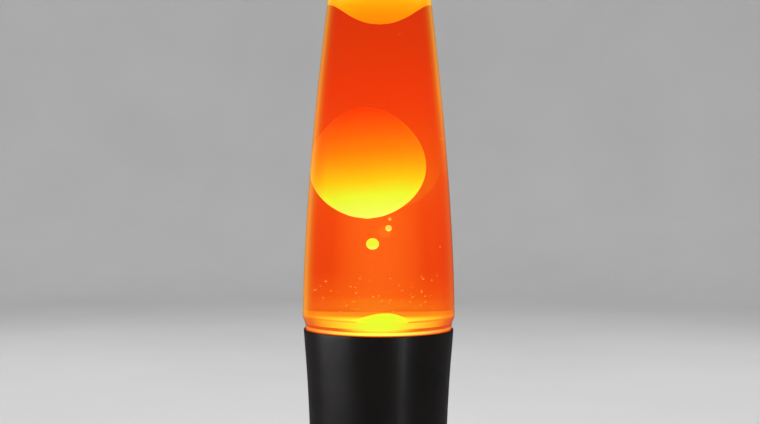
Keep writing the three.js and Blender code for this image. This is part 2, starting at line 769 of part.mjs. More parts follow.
// A crown closure: a flat top and a skirt pressed into twenty-one flutes.
function crownCap() {

	const FLUTES = 21;
	const FLUTE_DEPTH = 0.55;
	const top = LIP_HEIGHT + 2.1;
	const geometry = spin( [
		[ 0, top ], [ 12.4, top ], [ 14.1, top - 0.9 ], [ 14.6, top - 3.1 ], [ 15.9, top - 6.1 ],
		[ 15.5, top - 6.3 ], [ 14.2, top - 3.1 ], [ 13.7, top - 1.2 ], [ 12.2, top - 0.4 ],
		[ 0, top - 0.4 ],
	], 2 * FLUTES );
	const position = geometry.getAttribute( 'position' );
	for ( let i = 0; i < position.count; i ++ ) {

		const x = position.getX( i );
		const y = position.getY( i );
		const radius = Math.max( Math.hypot( x, y ), 1 );
		const down = THREE.MathUtils.clamp( ( top - 1.5 - position.getZ( i ) ) / 4, 0, 1 );
		const flute = down * FLUTE_DEPTH * Math.cos( FLUTES * Math.atan2( y, x ) );
		const stretch = 1 + flute / radius;
		position.setXY( i, x * stretch, y * stretch );

	}

	return geometry;

}

function makeBottle() {

	const liner = rod( 11.9, LIP_HEIGHT + GAP, LIP_HEIGHT + 1.4 );
	return assembly(
		piece( 'glass_bottle', glassBottle(), finish( 0xffb27a, 0.05, 0 ) ),
		piece( 'liquid_column', liquidColumn(), orangeLiquid() ),
		piece( 'liquid_neck', liquidNeck(), orangeLiquid() ),
		piece( 'wax_top_mass', topWax(), wax() ),
		piece( 'wax_pool', poolWax(), wax() ),
		piece( 'wax_blob', eggWax(), wax(), BLOB_CENTRE ),
		bead( 'wax_bead_large', 2.8, 3.3, [ - 2.7, 0, 199 ] ),
		bead( 'wax_bead_small', 1.4, 1.8, [ 4.2, 0, 208 ] ),
		bead( 'wax_bead_tiny', 0.8, 0.9, [ 4.7, 0, 213.4 ] ),
		piece( 'spring_ring', springRing(), steel(), [ 0, 0, 148.4 ] ),
		piece( 'crown_cap', crownCap(), finish( 0xd8d5cc, 0.3, 0.9 ) ),
		piece( 'crown_liner', liner, finish( 0xe6e2d6, 0.6, 0 ) ),
	);

}

// ---------------------------------------------------------------- cap

// A spun cone, open below, that stands on the bottle's taper.
function capShell() {

	const edge = bottleRadius( CAP_EDGE ) + GAP;
	const topInside = edge - CAP_TAPER;
	return spin( [
		[ 0, CAP_TOP - CAP_SHEET ], [ topInside - 1.5, CAP_TOP - CAP_SHEET ], [ topInside, CAP_TOP - 2.6 ],
		[ edge, CAP_EDGE + 0.4 ], [ edge + 0.3, CAP_EDGE ], [ edge + CAP_SHEET - 0.3, CAP_EDGE ],
		[ edge + CAP_SHEET, CAP_EDGE + 0.4 ], [ topInside + CAP_SHEET, CAP_TOP - 2.2 ],
		[ topInside + CAP_SHEET - 0.7, CAP_TOP - 0.6 ], [ topInside + CAP_SHEET - 2.2, CAP_TOP ],
		[ 0, CAP_TOP ],
	] );

}

function makeCap() {

	return assembly( piece( 'cap_shell', capShell(), satinBlack() ) );

}

// ---------------------------------------------------------------- cord

// Two round cores side by side, with a groove between them.
function flexOutline() {

	const w = CORD_HALF_WIDTH;
	const h = CORD_HALF_HEIGHT;
	const right = [ [ w, 0 ], [ 0.7 * w, 0.9 * h ] ];
	const upper = [ ...right, [ 0, 0.75 * h ], ...right.toReversed().map( ( [ x, y ] ) => [ - x, y ] ) ];
	const lower = upper.slice( 1, - 1 ).reverse().map( ( [ x, y ] ) => [ x, - y ] );
	return new THREE.Shape( [ ...upper, ...lower ].map( ( [ x, y ] ) => new THREE.Vector2( x, y ) ) );

}

// The bush: a flange on each side of the wall, and a sleeve that eases the cord's bend. The
// inner flange stands off further, because the round wall curves in towards it.
function cordBush() {

	const inner = - SHEET / 2 - 3 * GAP;
	const outer = SHEET / 2 + GAP;
	const bush = spinRing( [
		[ BUSH_BORE, inner - 1.2 ], [ BUSH_FLANGE, inner - 1.2 ], [ BUSH_FLANGE, inner ],
		[ BUSH_RADIUS, inner ], [ BUSH_RADIUS, outer ], [ BUSH_FLANGE, outer ],
		[ BUSH_FLANGE - 0.5, outer + 1.2 ], [ BUSH_RADIUS + 0.4, outer + 1.4 ],
		[ BUSH_RADIUS, outer + 6 ], [ BUSH_BORE, outer + 6 ],
	], SMALL_ROUND );
	return throughWall( bush );

}

const [ switchX, switchY ] = SWITCH_CENTRE;
const CORD_GRIP = 5; // length of flex held inside the switch and the plug

function makeCord() {

	const switchEnd = SWITCH_LENGTH / 2 - CORD_GRIP;
	const switchEntry = SWITCH_SPLIT + GAP;
	const lampToSwitch = [
		alongBush( CORD_INSIDE ), alongBush( 0 ), alongBush( 9 ),
		[ 0, 66, 10.5 ], [ 0, 80, 3.6 ], [ - 1, 94, CORD_REST ], [ - 1, 112, CORD_REST ],
		[ 5, 125, 4 ], [ switchX - SWITCH_LENGTH / 2 - 3, switchY, switchEntry - 0.3 ],
		[ switchX - SWITCH_LENGTH / 2, switchY, switchEntry ], [ switchX - switchEnd, switchY, switchEntry ],
	];
	const [ plugX, plugY ] = PLUG_FACE;
	const plugBack = plugX + PLUG_LENGTH;
	const switchToPlug = [
		[ switchX + switchEnd, switchY, switchEntry ],
		[ switchX + SWITCH_LENGTH / 2, switchY, switchEntry - 0.1 ],
		[ switchX + SWITCH_LENGTH / 2 + 3, switchY, switchEntry - 0.4 ],
		[ 96, 130, 3.2 ], [ 108, 140, CORD_REST ], [ 104, 156, CORD_REST ], [ 84, 166, CORD_REST ],
		[ 50, 166, CORD_REST ], [ 16, 156, CORD_REST ], [ - 16, 150, CORD_REST ], [ - 42, 154, 4.4 ],
		[ plugBack + 4, plugY, PLUG_HEIGHT / 2 - 0.4 ], [ plugBack, plugY, PLUG_HEIGHT / 2 ],
		[ plugBack - CORD_GRIP, plugY, PLUG_HEIGHT / 2 ],
	];
	return assembly(
		piece( 'cord_bush', cordBush(), finish( 0x111111, 0.7, 0 ) ),
		piece( 'cord_lamp_to_switch', sweep( lampToSwitch, flexOutline(), 34 ), blackPlastic() ),
		piece( 'cord_switch_to_plug', sweep( switchToPlug, flexOutline(), 46 ), blackPlastic() ),
	);

}

// ---------------------------------------------------------------- in-line switch

const SCREW_PLACE = 17.5; // from the switch's middle to each case screw
const OPENING = [ 20.8, 11 ]; // length and width of the hole for the rocker
const ROCKER_WIDTH = 10;
const PIN_RADIUS = 1;

const twoSides = ( make ) => [ - 1, 1 ].map( make );

// A hollow block with a pillar at each screw and a slot for the flex at each end.
function switchCase() {

	const inside = [ SWITCH_LENGTH, SWITCH_WIDTH, SWITCH_HEIGHT ].map( ( size ) => size - 2 * SWITCH_WALL );
	const outer = solid( pillow( SWITCH_LENGTH, SWITCH_WIDTH, SWITCH_HEIGHT, 9, 1.6 ) );
	const hollow = solid( pillow( ...inside, 7, 0.8, 1 ).translate( 0, 0, SWITCH_WALL ) );
	const pillars = twoSides( ( side ) => rod( 4.2, 0, SWITCH_HEIGHT ).translate( side * SCREW_PLACE, 0, 0 ) );
	const room = pillars.reduce( ( rest, pillar ) => rest.subtract( solid( pillar ) ), hollow );
	const slotSize = [ 2 * SWITCH_LENGTH, 2 * CORD_HALF_WIDTH + SLOT_ROOM, 2 * CORD_HALF_HEIGHT + SLOT_ROOM ];
	const slot = solid( block( slotSize, [ 0, 0, SWITCH_SPLIT ] ) );
	const slotStop = solid( block( [ 2 * SCREW_PLACE, 20, 20 ], [ 0, 0, SWITCH_SPLIT ] ) );
	return outer.subtract( room ).subtract( slot.subtract( slotStop ) );

}

// One half of the case. The top one has the rocker's opening and the hole for its pin.
function switchHalf( top ) {

	const bottomPart = [ [ 80, 40, SWITCH_SPLIT ], [ 0, 0, SWITCH_SPLIT / 2 ] ];
	const topPart = [ [ 80, 40, 20 ], [ 0, 0, SWITCH_SPLIT + GAP + 10 ] ];
	const half = switchCase().intersect( solid( block( ...( top ? topPart : bottomPart ) ) ) );
	const screwHoles = [
		...twoSides( ( side ) => rod( 1.8, - 1, SWITCH_HEIGHT - 3.5, TINY_ROUND )
			.translate( side * SCREW_PLACE, 0, 0 ) ),
		...twoSides( ( side ) => rod( 3.1, - 1, 2.6, TINY_ROUND ).translate( side * SCREW_PLACE, 0, 0 ) ),
	];
	const opening = block( [ ...OPENING, SWITCH_HEIGHT ], [ 0, 0, SWITCH_HEIGHT ] );
	const pinHole = rod( PIN_RADIUS + GAP, - 11.5, 11.5, TINY_ROUND ).rotateX( Math.PI / 2 )
		.translate( 0, 0, ROCKER_PIVOT_HEIGHT );
	const tools = [ ...screwHoles, ...( top ? [ opening, pinHole ] : [] ) ];
	return fromSolid( tools.reduce( ( rest, tool ) => rest.subtract( solid( tool ) ), half ) );

}

// The rocker's side view is a shallow V with a lobe below, and its pivot is the local origin.
function rocker() {

	const side = new THREE.Shape();
	side.moveTo( - 9, 1.8 );
	side.lineTo( - 2.6, - 1.6 );
	side.absarc( 0, 0, 2.8, 1.2 * Math.PI, 1.8 * Math.PI, false );
	side.lineTo( 9, 1.8 );
	side.lineTo( 9, 5.2 );
	side.lineTo( 8.6, 5.7 );
	side.quadraticCurveTo( 0, 3.6, - 8.6, 5.7 );
	side.lineTo( - 9, 5.2 );
	const hole = new THREE.Path();
	hole.absarc( 0, 0, PIN_RADIUS + GAP, 0, 2 * Math.PI );
	side.holes.push( hole );
	return new THREE.ExtrudeGeometry( side, { depth: ROCKER_WIDTH, bevelEnabled: false, curveSegments: 5 } )
		.translate( 0, 0, - ROCKER_WIDTH / 2 ).rotateX( Math.PI / 2 );

}

// A bent brass strip, seen from the side and as wide as a finger of the rocker.
function contactStrip( outline ) {

	const WIDTH = 4;
	const shape = new THREE.Shape( outline.map( ( [ x, z ] ) => new THREE.Vector2( x, z ) ) );
	return new THREE.ExtrudeGeometry( shape, { depth: WIDTH, bevelEnabled: false } )
		.translate( 0, 0, - WIDTH / 2 ).rotateX( Math.PI / 2 );

}

function makeSwitch() {

	const pivot = [ 0, 0, ROCKER_PIVOT_HEIGHT ];
	const rockerPiece = piece( 'switch_rocker', rocker(), finish( 0x202024, 0.35, 0 ), pivot );
	rockerPiece.rotation.y = ROCKER_TILT;
	const screw = spin( [
		[ 0, 0.6 ], [ 2.7, 0.6 ], [ 2.7, 1.9 ], [ 1.4, 2.3 ], [ 1.4, 12 ], [ 0, 12.6 ],
	], TINY_ROUND );
	const fixedStrip = [ [ - 11, 2.2 ], [ 6, 2.2 ], [ 6, 2.8 ], [ - 5, 2.8 ], [ - 10.4, 4.6 ], [ - 11, 4.2 ] ];
	const movingStrip = [ [ - 10, 5.6 ], [ 7, 3.6 ], [ 11, 3.6 ], [ 11, 4.2 ], [ 7, 4.2 ], [ - 9.8, 6.2 ] ];
	const body = assembly(
		piece( 'switch_bottom_half', switchHalf( false ), blackPlastic() ),
		piece( 'switch_top_half', switchHalf( true ), blackPlastic() ),
		rockerPiece,
		piece( 'rocker_pin', rod( PIN_RADIUS, - 11.2, 11.2, TINY_ROUND ).rotateX( Math.PI / 2 ), steel(), pivot ),
		piece( 'switch_contact_fixed', contactStrip( fixedStrip ), brass() ),
		piece( 'switch_contact_moving', contactStrip( movingStrip ), brass() ),
		piece( 'switch_screw_left', screw, steel(), [ - SCREW_PLACE, 0, 0 ] ),
		piece( 'switch_screw_right', screw.clone(), steel(), [ SCREW_PLACE, 0, 0 ] ),
	);
	body.position.set( switchX, switchY, GAP );
	return body;

}

// ---------------------------------------------------------------- plug

const BLADE_HEIGHT = 6.35;
const BLADE_THICKNESS = 1.5;
const BLADE_LENGTH = 17;
const BLADE_ROOT = 6;

// The body's plan narrows in a curve from the blade face, at x = 0, to the cord.
function plugBody() {

	const BEVEL = 2;
	const half = 12.5 - BEVEL;
	const back = PLUG_LENGTH - BEVEL;
	const plan = new THREE.Shape();
	plan.moveTo( BEVEL, - half );
	plan.lineTo( 9, - half );
	plan.bezierCurveTo( 14, - half, 15, - 5, back, - 3 );
	plan.lineTo( back, 3 );
	plan.bezierCurveTo( 15, 5, 14, half, 9, half );
	plan.lineTo( BEVEL, half );
	const body = new THREE.ExtrudeGeometry( plan, {
		depth: PLUG_HEIGHT - 0.6 - 2 * BEVEL, curveSegments: 6,
		bevelSize: BEVEL, bevelThickness: BEVEL, bevelSegments: 2,
	} ).translate( 0, 0, BEVEL + GAP );
	const cordHole = block( [ 8, 2 * CORD_HALF_WIDTH + SLOT_ROOM, 2 * CORD_HALF_HEIGHT + SLOT_ROOM ],
		[ PLUG_LENGTH - 1.4, 0, PLUG_HEIGHT / 2 ] );
	const slots = [ - 1, 1 ].map( ( side ) => block(
		[ 2 * BLADE_ROOT + 0.6, BLADE_THICKNESS + 0.6, BLADE_HEIGHT + 0.6 ],
		[ 0, side * BLADE_SPACING / 2, PLUG_HEIGHT / 2 ] ) );
	return cut( body, cordHole, ...slots );

}

function plugBlade() {

	const h = BLADE_HEIGHT / 2;
	const side = new THREE.Shape();
	side.moveTo( BLADE_ROOT, - h );
	side.lineTo( BLADE_ROOT, h );
	side.lineTo( 2 - BLADE_LENGTH, h );
	side.lineTo( - BLADE_LENGTH, h - 1.6 );
	side.lineTo( - BLADE_LENGTH, 1.6 - h );
	side.lineTo( 2 - BLADE_LENGTH, - h );
	const hole = new THREE.Path();
	hole.absarc( 4.5 - BLADE_LENGTH, 0, 1.6, 0, 2 * Math.PI );
	side.holes.push( hole );
	return new THREE.ExtrudeGeometry( side, { depth: BLADE_THICKNESS, bevelEnabled: false, curveSegments: 5 } )
		.translate( 0, 0, - BLADE_THICKNESS / 2 ).rotateX( Math.PI / 2 );

}

function makePlug() {

	const plug = assembly(
		piece( 'plug_body', plugBody(), blackPlastic() ),
		piece( 'plug_blade_live', plugBlade(), brass(), [ 0, - BLADE_SPACING / 2, PLUG_HEIGHT / 2 ] ),
		piece( 'plug_blade_neutral', plugBlade(), brass(), [ 0, BLADE_SPACING / 2, PLUG_HEIGHT / 2 ] ),
	);
	plug.position.set( ...PLUG_FACE, 0 );
	return plug;

}

// ---------------------------------------------------------------- the lamp

export default assembly(
	makeBase(),
	makeHolder(),
	makeWires(),
	makeBulb(),
	makeBottle(),
	makeCap(),
	makeCord(),
	makeSwitch(),
	makePlug(),
);
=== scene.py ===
import json
import math
import random

import bmesh
import bpy
import numpy as np
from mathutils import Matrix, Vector

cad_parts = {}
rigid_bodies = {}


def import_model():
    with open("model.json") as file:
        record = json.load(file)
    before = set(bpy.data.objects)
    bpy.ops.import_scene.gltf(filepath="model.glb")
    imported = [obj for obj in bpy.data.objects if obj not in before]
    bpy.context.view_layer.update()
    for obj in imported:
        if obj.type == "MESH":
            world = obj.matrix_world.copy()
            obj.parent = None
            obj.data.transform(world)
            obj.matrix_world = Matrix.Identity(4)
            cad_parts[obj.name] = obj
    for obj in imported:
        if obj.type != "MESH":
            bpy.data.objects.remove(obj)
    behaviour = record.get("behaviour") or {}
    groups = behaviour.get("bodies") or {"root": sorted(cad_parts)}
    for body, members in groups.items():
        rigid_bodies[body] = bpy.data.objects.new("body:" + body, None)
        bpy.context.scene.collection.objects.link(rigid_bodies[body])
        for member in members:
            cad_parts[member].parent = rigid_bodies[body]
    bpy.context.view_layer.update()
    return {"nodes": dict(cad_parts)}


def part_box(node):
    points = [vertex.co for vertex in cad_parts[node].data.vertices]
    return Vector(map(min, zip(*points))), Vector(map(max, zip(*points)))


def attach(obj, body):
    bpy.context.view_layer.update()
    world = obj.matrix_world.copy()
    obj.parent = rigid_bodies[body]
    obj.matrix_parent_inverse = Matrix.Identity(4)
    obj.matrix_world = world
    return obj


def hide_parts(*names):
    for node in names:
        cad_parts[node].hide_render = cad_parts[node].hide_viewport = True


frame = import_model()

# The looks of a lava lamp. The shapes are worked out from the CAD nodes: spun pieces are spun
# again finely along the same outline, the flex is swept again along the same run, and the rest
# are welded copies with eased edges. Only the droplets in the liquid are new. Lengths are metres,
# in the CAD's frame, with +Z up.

MM = 0.001

SIDES = 144  # straight sides of a large spun piece
SMALL_SIDES = 64
SAME_POINT = 0.02 * MM  # corners closer than this are one point of an outline
SHARP = 40  # degrees: an edge that bends more than this is not shaded smooth
ALL_SMOOTH = 180
EASED_FROM = 35  # degrees: the gentlest bend that is rounded off
ON_AXIS = 0.5 * MM  # a piece this close to the lamp's axis is spun about it
JUMP = 1.0  # added to the distance between points that no edge joins, and longer than the lamp


# ---------------------------------------------------------------- outlines of spun pieces

def welded(node):
    """A CAD node's mesh as a bmesh whose facets share their corners."""
    solid = bmesh.new()
    solid.from_mesh(frame["nodes"][node].data)
    bmesh.ops.remove_doubles(solid, verts=solid.verts, dist=SAME_POINT / 4)
    return solid


def outline_points(solid, axis):
    """Groups corners that lie on one ring. Returns each corner's ring and each ring's (r, z)."""
    ring_of, rings = {}, []
    for v in solid.verts:
        here = (math.hypot(v.co.x - axis.x, v.co.y - axis.y), v.co.z)
        for i, ring in enumerate(rings):
            if abs(ring[0] - here[0]) < SAME_POINT and abs(ring[1] - here[1]) < SAME_POINT:
                ring_of[v.index] = i
                break
        else:
            ring_of[v.index] = len(rings)
            rings.append(here)
    return ring_of, rings


def meridian(node):
    """The (radius, height) outline of a spun CAD node, in order. Holes cut in it are ignored."""
    solid = welded(node)
    solid.verts.ensure_lookup_table()
    low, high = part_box(node)
    axis = (low + high) / 2
    if abs(axis.x) < ON_AXIS and abs(axis.y) < ON_AXIS:
        axis = Vector((0, 0, 0))
    ring_of, rings = outline_points(solid, axis)
    count = [0] * len(rings)
    for ring in ring_of.values():
        count[ring] += 1
    whole = max(count)
    kept = {i for i, n in enumerate(count) if n > whole / 2 or rings[i][0] < SAME_POINT}
    beside = {i: set() for i in kept}
    for edge in solid.edges:
        a, b = (ring_of[v.index] for v in edge.verts)
        if a != b and a in kept and b in kept:
            beside[a].add(b)
            beside[b].add(a)
    solid.free()
    ends = [i for i in kept if rings[i][0] < SAME_POINT]
    start = min(ends or kept, key=lambda i: rings[i][1])
    path = [start]
    left = kept - {start}

    def apart(a, b):
        return math.dist(rings[a], rings[b]) + (0 if b in beside[a] else JUMP)

    while left:
        path.append(min(left, key=lambda i: apart(path[-1], i)))
        left.discard(path[-1])
    return [rings[i] for i in path], not ends, axis


def spline(points, closed, corner, step):
    """Fills in an outline: bends sharper than corner (degrees) stay, the rest become curves.

    The curves never pass beyond the outline's own least and greatest radius and height.
    """
    p = [np.array(q, float) for q in points]
    n = len(p)
    limit = math.cos(math.radians(corner))

    def bends(i):
        before, after = p[i] - p[i - 1], p[(i + 1) % n] - p[i]
        return before @ after > limit * np.linalg.norm(before) * np.linalg.norm(after)

    smooth = [bends(i) and (closed or 0 < i < n - 1) for i in range(n)]
    filled = []
    for i in range(n if closed else n - 1):
        a, b = p[i], p[(i + 1) % n]
        before = p[i - 1] if smooth[i] else 2 * a - b
        after = p[(i + 2) % n] if smooth[(i + 1) % n] else 2 * b - a
        pieces = max(1, math.ceil(np.linalg.norm(b - a) / step))
        if not smooth[i] and not smooth[(i + 1) % n]:
            pieces = 1
        for k in range(pieces):
            filled.append(tuple(catmull_rom((before, a, b, after), k / pieces)))
    if not closed:
        filled.append(tuple(p[-1]))
    return [tuple(q) for q in np.clip(filled, np.min(p, axis=0), np.max(p, axis=0))]


def catmull_rom(points, share):
    """The centripetal curve through four points, a share of the way from the second to the third."""
    knots = [0.0]
    for a, b in zip(points, points[1:]):
        knots.append(knots[-1] + max(np.linalg.norm(b - a), 1e-9) ** 0.5)
    t = knots[1] + share * (knots[2] - knots[1])

    def between(a, b, low, high):
        weight = (t - knots[low]) / (knots[high] - knots[low])
        return (1 - weight) * a + weight * b

    first, middle, last = (between(points[i], points[i + 1], i, i + 1) for i in range(3))
    return between(between(first, middle, 0, 2), between(middle, last, 1, 3), 1, 2)


def eased(points, closed, corner, radius):
    """Replaces each corner sharper than corner (degrees) with a short rounded stretch."""
    n = len(points)
    p = [np.array(q, float) for q in points]
    limit = math.cos(math.radians(corner))
    result = []
    for i in range(n):
        if not closed and i in (0, n - 1):
            result.append(tuple(p[i]))
            continue
        before, after = p[i - 1] - p[i], p[(i + 1) % n] - p[i]
        lengths = np.linalg.norm(before), np.linalg.norm(after)
        if -(before @ after) > limit * lengths[0] * lengths[1]:
            result.append(tuple(p[i]))
            continue
        cut = min(radius, 0.45 * lengths[0], 0.45 * lengths[1])
        first, last = p[i] + before / lengths[0] * cut, p[i] + after / lengths[1] * cut
        for share in (0, 0.25, 0.5, 0.75, 1):
            a = (1 - share) * first + share * p[i]
            b = (1 - share) * p[i] + share * last
            result.append(tuple((1 - share) * a + share * b))
    return result


def spin(name, points, closed=False, sides=SIDES, axis=Vector((0, 0, 0))):
    """A mesh object: an outline spun about an upright axis."""
    verts, rings = [], []
    for r, z in points:
        if r < SAME_POINT:
            rings.append([len(verts)] * sides)
            verts.append((axis.x, axis.y, z))
            continue
        rings.append(list(range(len(verts), len(verts) + sides)))
        for k in range(sides):
            turn = 2 * math.pi * k / sides
            verts.append((axis.x + r * math.cos(turn), axis.y + r * math.sin(turn), z))
    faces = []
    pairs = list(zip(rings, rings[1:])) + ([(rings[-1], rings[0])] if closed else [])
    for low, high in pairs:
        for k in range(sides):
            corners = [low[k], low[(k + 1) % sides], high[(k + 1) % sides], high[k]]
            face = list(dict.fromkeys(corners))
            if len(face) > 2:
                faces.append(face)
    return mesh_object(name, verts, faces)


def mesh_object(name, verts, faces, sharp=SHARP):
    """An object whose faces point out, shaded smooth except where they meet sharply."""
    mesh = bpy.data.meshes.new(name)
    mesh.from_pydata([tuple(v) for v in verts], [], faces)
    solid = bmesh.new()
    solid.from_mesh(mesh)
    bmesh.ops.recalc_face_normals(solid, faces=solid.faces)
    if solid.calc_volume(signed=True) < 0:
        bmesh.ops.reverse_faces(solid, faces=solid.faces)
    solid.to_mesh(mesh)
    solid.free()
    return shaded(name, mesh, sharp)


def shaded(name, mesh, sharp):
    """An object in the scene, shaded smooth except at edges that bend more than sharp (degrees)."""
    mesh.shade_smooth()
    mesh.set_sharp_from_angle(angle=math.radians(sharp))
    piece = bpy.data.objects.new(name, mesh)
    bpy.context.scene.collection.objects.link(piece)
    return piece


def respun(node, corner=EASED_FROM, step=1.5 * MM, ease=0.25 * MM, sides=SIDES):
    """A spun CAD node, spun again finely, with its corners rounded to a radius of about ease."""
    points, closed, axis = meridian(node)
    if ease:
        points = eased(points, closed, max(corner, EASED_FROM), ease)
    return spin(node + "_fine", spline(points, closed, corner, step), closed, sides, axis)


def refined(node, bevel=0.3 * MM, sharp=SHARP):
    """A welded copy of a CAD node with its hard edges eased."""
    solid = welded(node)
    flat = math.radians(0.5)
    bmesh.ops.dissolve_limit(solid, angle_limit=flat, verts=solid.verts, edges=solid.edges)
    mesh = bpy.data.meshes.new(node + "_fine")
    solid.to_mesh(mesh)
    solid.free()
    piece = shaded(node + "_fine", mesh, sharp)
    if bevel:
        ease = piece.modifiers.new("eased edges", "BEVEL")
        ease.width = bevel
        ease.segments = 3
        ease.limit_method = "ANGLE"
        ease.angle_limit = math.radians(EASED_FROM)
        ease.harden_normals = True
    return piece


def place(piece, body, material, slot, *nodes):
    """Gives a piece its material and its body, and hides the CAD nodes it stands for."""
    piece.data.materials.clear()
    piece.data.materials.append(material)
    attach(piece, body)
    if nodes:
        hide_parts(*nodes)


# ---------------------------------------------------------------- material building

def srgb(red, green, blue):
    """A screen colour given in 0 to 255, as linear light."""
    def linear(c):
        c /= 255
        return c / 12.92 if c <= 0.04045 else ((c + 0.055) / 1.055) ** 2.4
    return (linear(red), linear(green), linear(blue), 1.0)


class Shader:
    """A material being built. set() fills in the surface; the other calls add nodes and return an output."""

    def __init__(self, name, **settings):
        self.material = bpy.data.materials.new(name)
        self.material.use_nodes = True
        self.tree = self.material.node_tree
        self.surface = self.tree.nodes["Principled BSDF"]
        self.set(**settings)

    def set(self, **settings):
        for key, value in settings.items():
            self.plug(self.surface.inputs[key.replace("_", " ")], value)

    def plug(self, socket, value):
        if isinstance(value, bpy.types.NodeSocket):
            self.tree.links.new(value, socket)
        else:
            socket.default_value = value

    def node(self, kind, inputs=(), **settings):
        made = self.tree.nodes.new(kind)
        for key, value in settings.items():
            setattr(made, key, value)
        for key, value in dict(inputs).items():
            self.plug(made.inputs[key], value)
        return made

    def place(self):
        return self.node("ShaderNodeTexCoord").outputs["Object"]

    def height(self):
        return self.split("Z")

    def split(self, axis):
        return self.node("ShaderNodeSeparateXYZ", {"Vector": self.place()}).outputs[axis]

    def facing(self):
        return self.node("ShaderNodeLayerWeight", {"Blend": 0.5}).outputs["Facing"]

    def radius(self):
        kind = "ShaderNodeVectorMath"
        flat = self.node(kind, {0: self.place(), 1: (1, 1, 0)}, operation="MULTIPLY")
        return self.node(kind, {0: flat.outputs[0]}, operation="LENGTH").outputs["Value"]

    def stretched(self, scale):
        return self.node("ShaderNodeMapping", {"Vector": self.place(), "Scale": scale}).outputs[0]

    def noise(self, scale, detail, rough=0.55, vector=None):
        made = self.node("ShaderNodeTexNoise", {
            "Vector": vector or self.place(), "Scale": scale, "Detail": detail, "Roughness": rough})
        return made.outputs["Fac"]

    def remap(self, value, low, high, to_low=0.0, to_high=1.0):
        made = self.node("ShaderNodeMapRange", {
            "Value": value, "From Min": low, "From Max": high, "To Min": to_low, "To Max": to_high})
        return made.outputs["Result"]

    def math(self, operation, a, b):
        return self.node("ShaderNodeMath", {0: a, 1: b}, operation=operation).outputs[0]

    def ramp(self, value, *stops):
        made = self.node("ShaderNodeValToRGB", {"Fac": value})
        band = made.color_ramp
        while len(band.elements) < len(stops):
            band.elements.new(0.5)
        for element, (at, colour) in zip(band.elements, stops):
            element.position = at
            element.color = colour
        return made.outputs["Color"]

    def blend(self, share, a, b):
        made = self.node("ShaderNodeMix", data_type="RGBA")
        for socket, value in zip((made.inputs[0], made.inputs[6], made.inputs[7]), (share, a, b)):
            self.plug(socket, value)
        return made.outputs[2]

    def bump(self, height, distance, strength, after=None):
        made = self.node("ShaderNodeBump", {
            "Height": height, "Distance": distance, "Strength": strength})
        if after is not None:
            self.plug(made.inputs["Normal"], after)
        return made.outputs["Normal"]


def grey(level):
    return (level, level, level, 1.0)


# ---------------------------------------------------------------- materials

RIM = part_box("base_upper_shell")[1].z
GLASS_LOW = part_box("glass_bottle")[0].z
CAP_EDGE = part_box("cap_shell")[0].z


def lacquer(name):
    """Satin black lacquer on spun metal: faint turning lines, soft mottling and a fine grain."""
    s = Shader(name, Coat_Weight=0.2, Coat_Roughness=0.25, Specular_IOR_Level=0.4)
    rings = s.noise(900, 2, 0.5, s.stretched((0.02, 0.02, 1)))
    mottle = s.noise(60, 4)
    s.set(Base_Color=s.ramp(mottle, (0.3, srgb(13, 9, 8)), (0.7, srgb(21, 15, 13))))
    s.set(Roughness=s.remap(s.noise(140, 5, 0.6), 0.3, 0.7, 0.3, 0.42))
    grain = s.bump(rings, 0.00004, 0.5)
    s.set(Normal=s.bump(s.noise(2600, 2), 0.00002, 0.35, grain))
    return s.material


def bottle_glass():
    """Clear moulded glass that carries the lamp's light along its edges and out above the rim."""
    s = Shader("bottle_glass", Roughness=0.015, IOR=1.5, Transmission_Weight=1.0, Specular_IOR_Level=0.3)
    s.set(Normal=s.bump(s.noise(24, 2, 0.4), 0.0002, 0.12))
    facing = s.facing()
    edge = s.ramp(
        facing, (0.4, grey(0)), (0.5, (0.0, 0.018, 0.0, 1)), (0.6, (0.02, 0.09, 0.001, 1)),
        (0.69, (0.1, 0.2, 0.02, 1)), (0.75, (0.2, 0.24, 0.028, 1)), (1.0, (0.2, 0.2, 0.028, 1)))
    # The painted edge glow is dimmer on the lower right than on the rest, and the whole of it fades over the
    # heel.
    z = s.height()
    right = s.remap(s.split("X"), -20 * MM, 30 * MM)
    dull = s.math("MULTIPLY", right, s.remap(z, RIM + 135 * MM, RIM + 85 * MM, 0.0, 0.75))
    edge = s.blend(dull, edge, grey(0))
    edge = s.blend(s.remap(z, RIM + 12 * MM, RIM + 5 * MM, 0.0, 0.8), edge, grey(0))
    # Light leaks out in a narrow line just above the rim.
    line_top = s.remap(z, RIM + 2.2 * MM, RIM + 1.5 * MM)
    line = s.math("MULTIPLY", s.remap(z, RIM + 0.2 * MM, RIM + 0.6 * MM), line_top)
    leak = s.ramp(
        facing, (0.05, srgb(254, 232, 76)), (0.32, srgb(226, 138, 58)), (0.6, srgb(176, 66, 22)))
    # Painted glow: the clear glass's colour turns orange towards its edges, and darker orange along the leak
    # line.
    painted_glow_tint = s.ramp(facing, (0.35, grey(1)), (0.62, (1.0, 0.42, 0.13, 1)))
    s.set(Base_Color=s.blend(line, painted_glow_tint, (0.3, 0.12, 0.04, 1)))
    s.set(Emission_Color=s.blend(line, edge, leak), Emission_Strength=1.0)
    return s.material


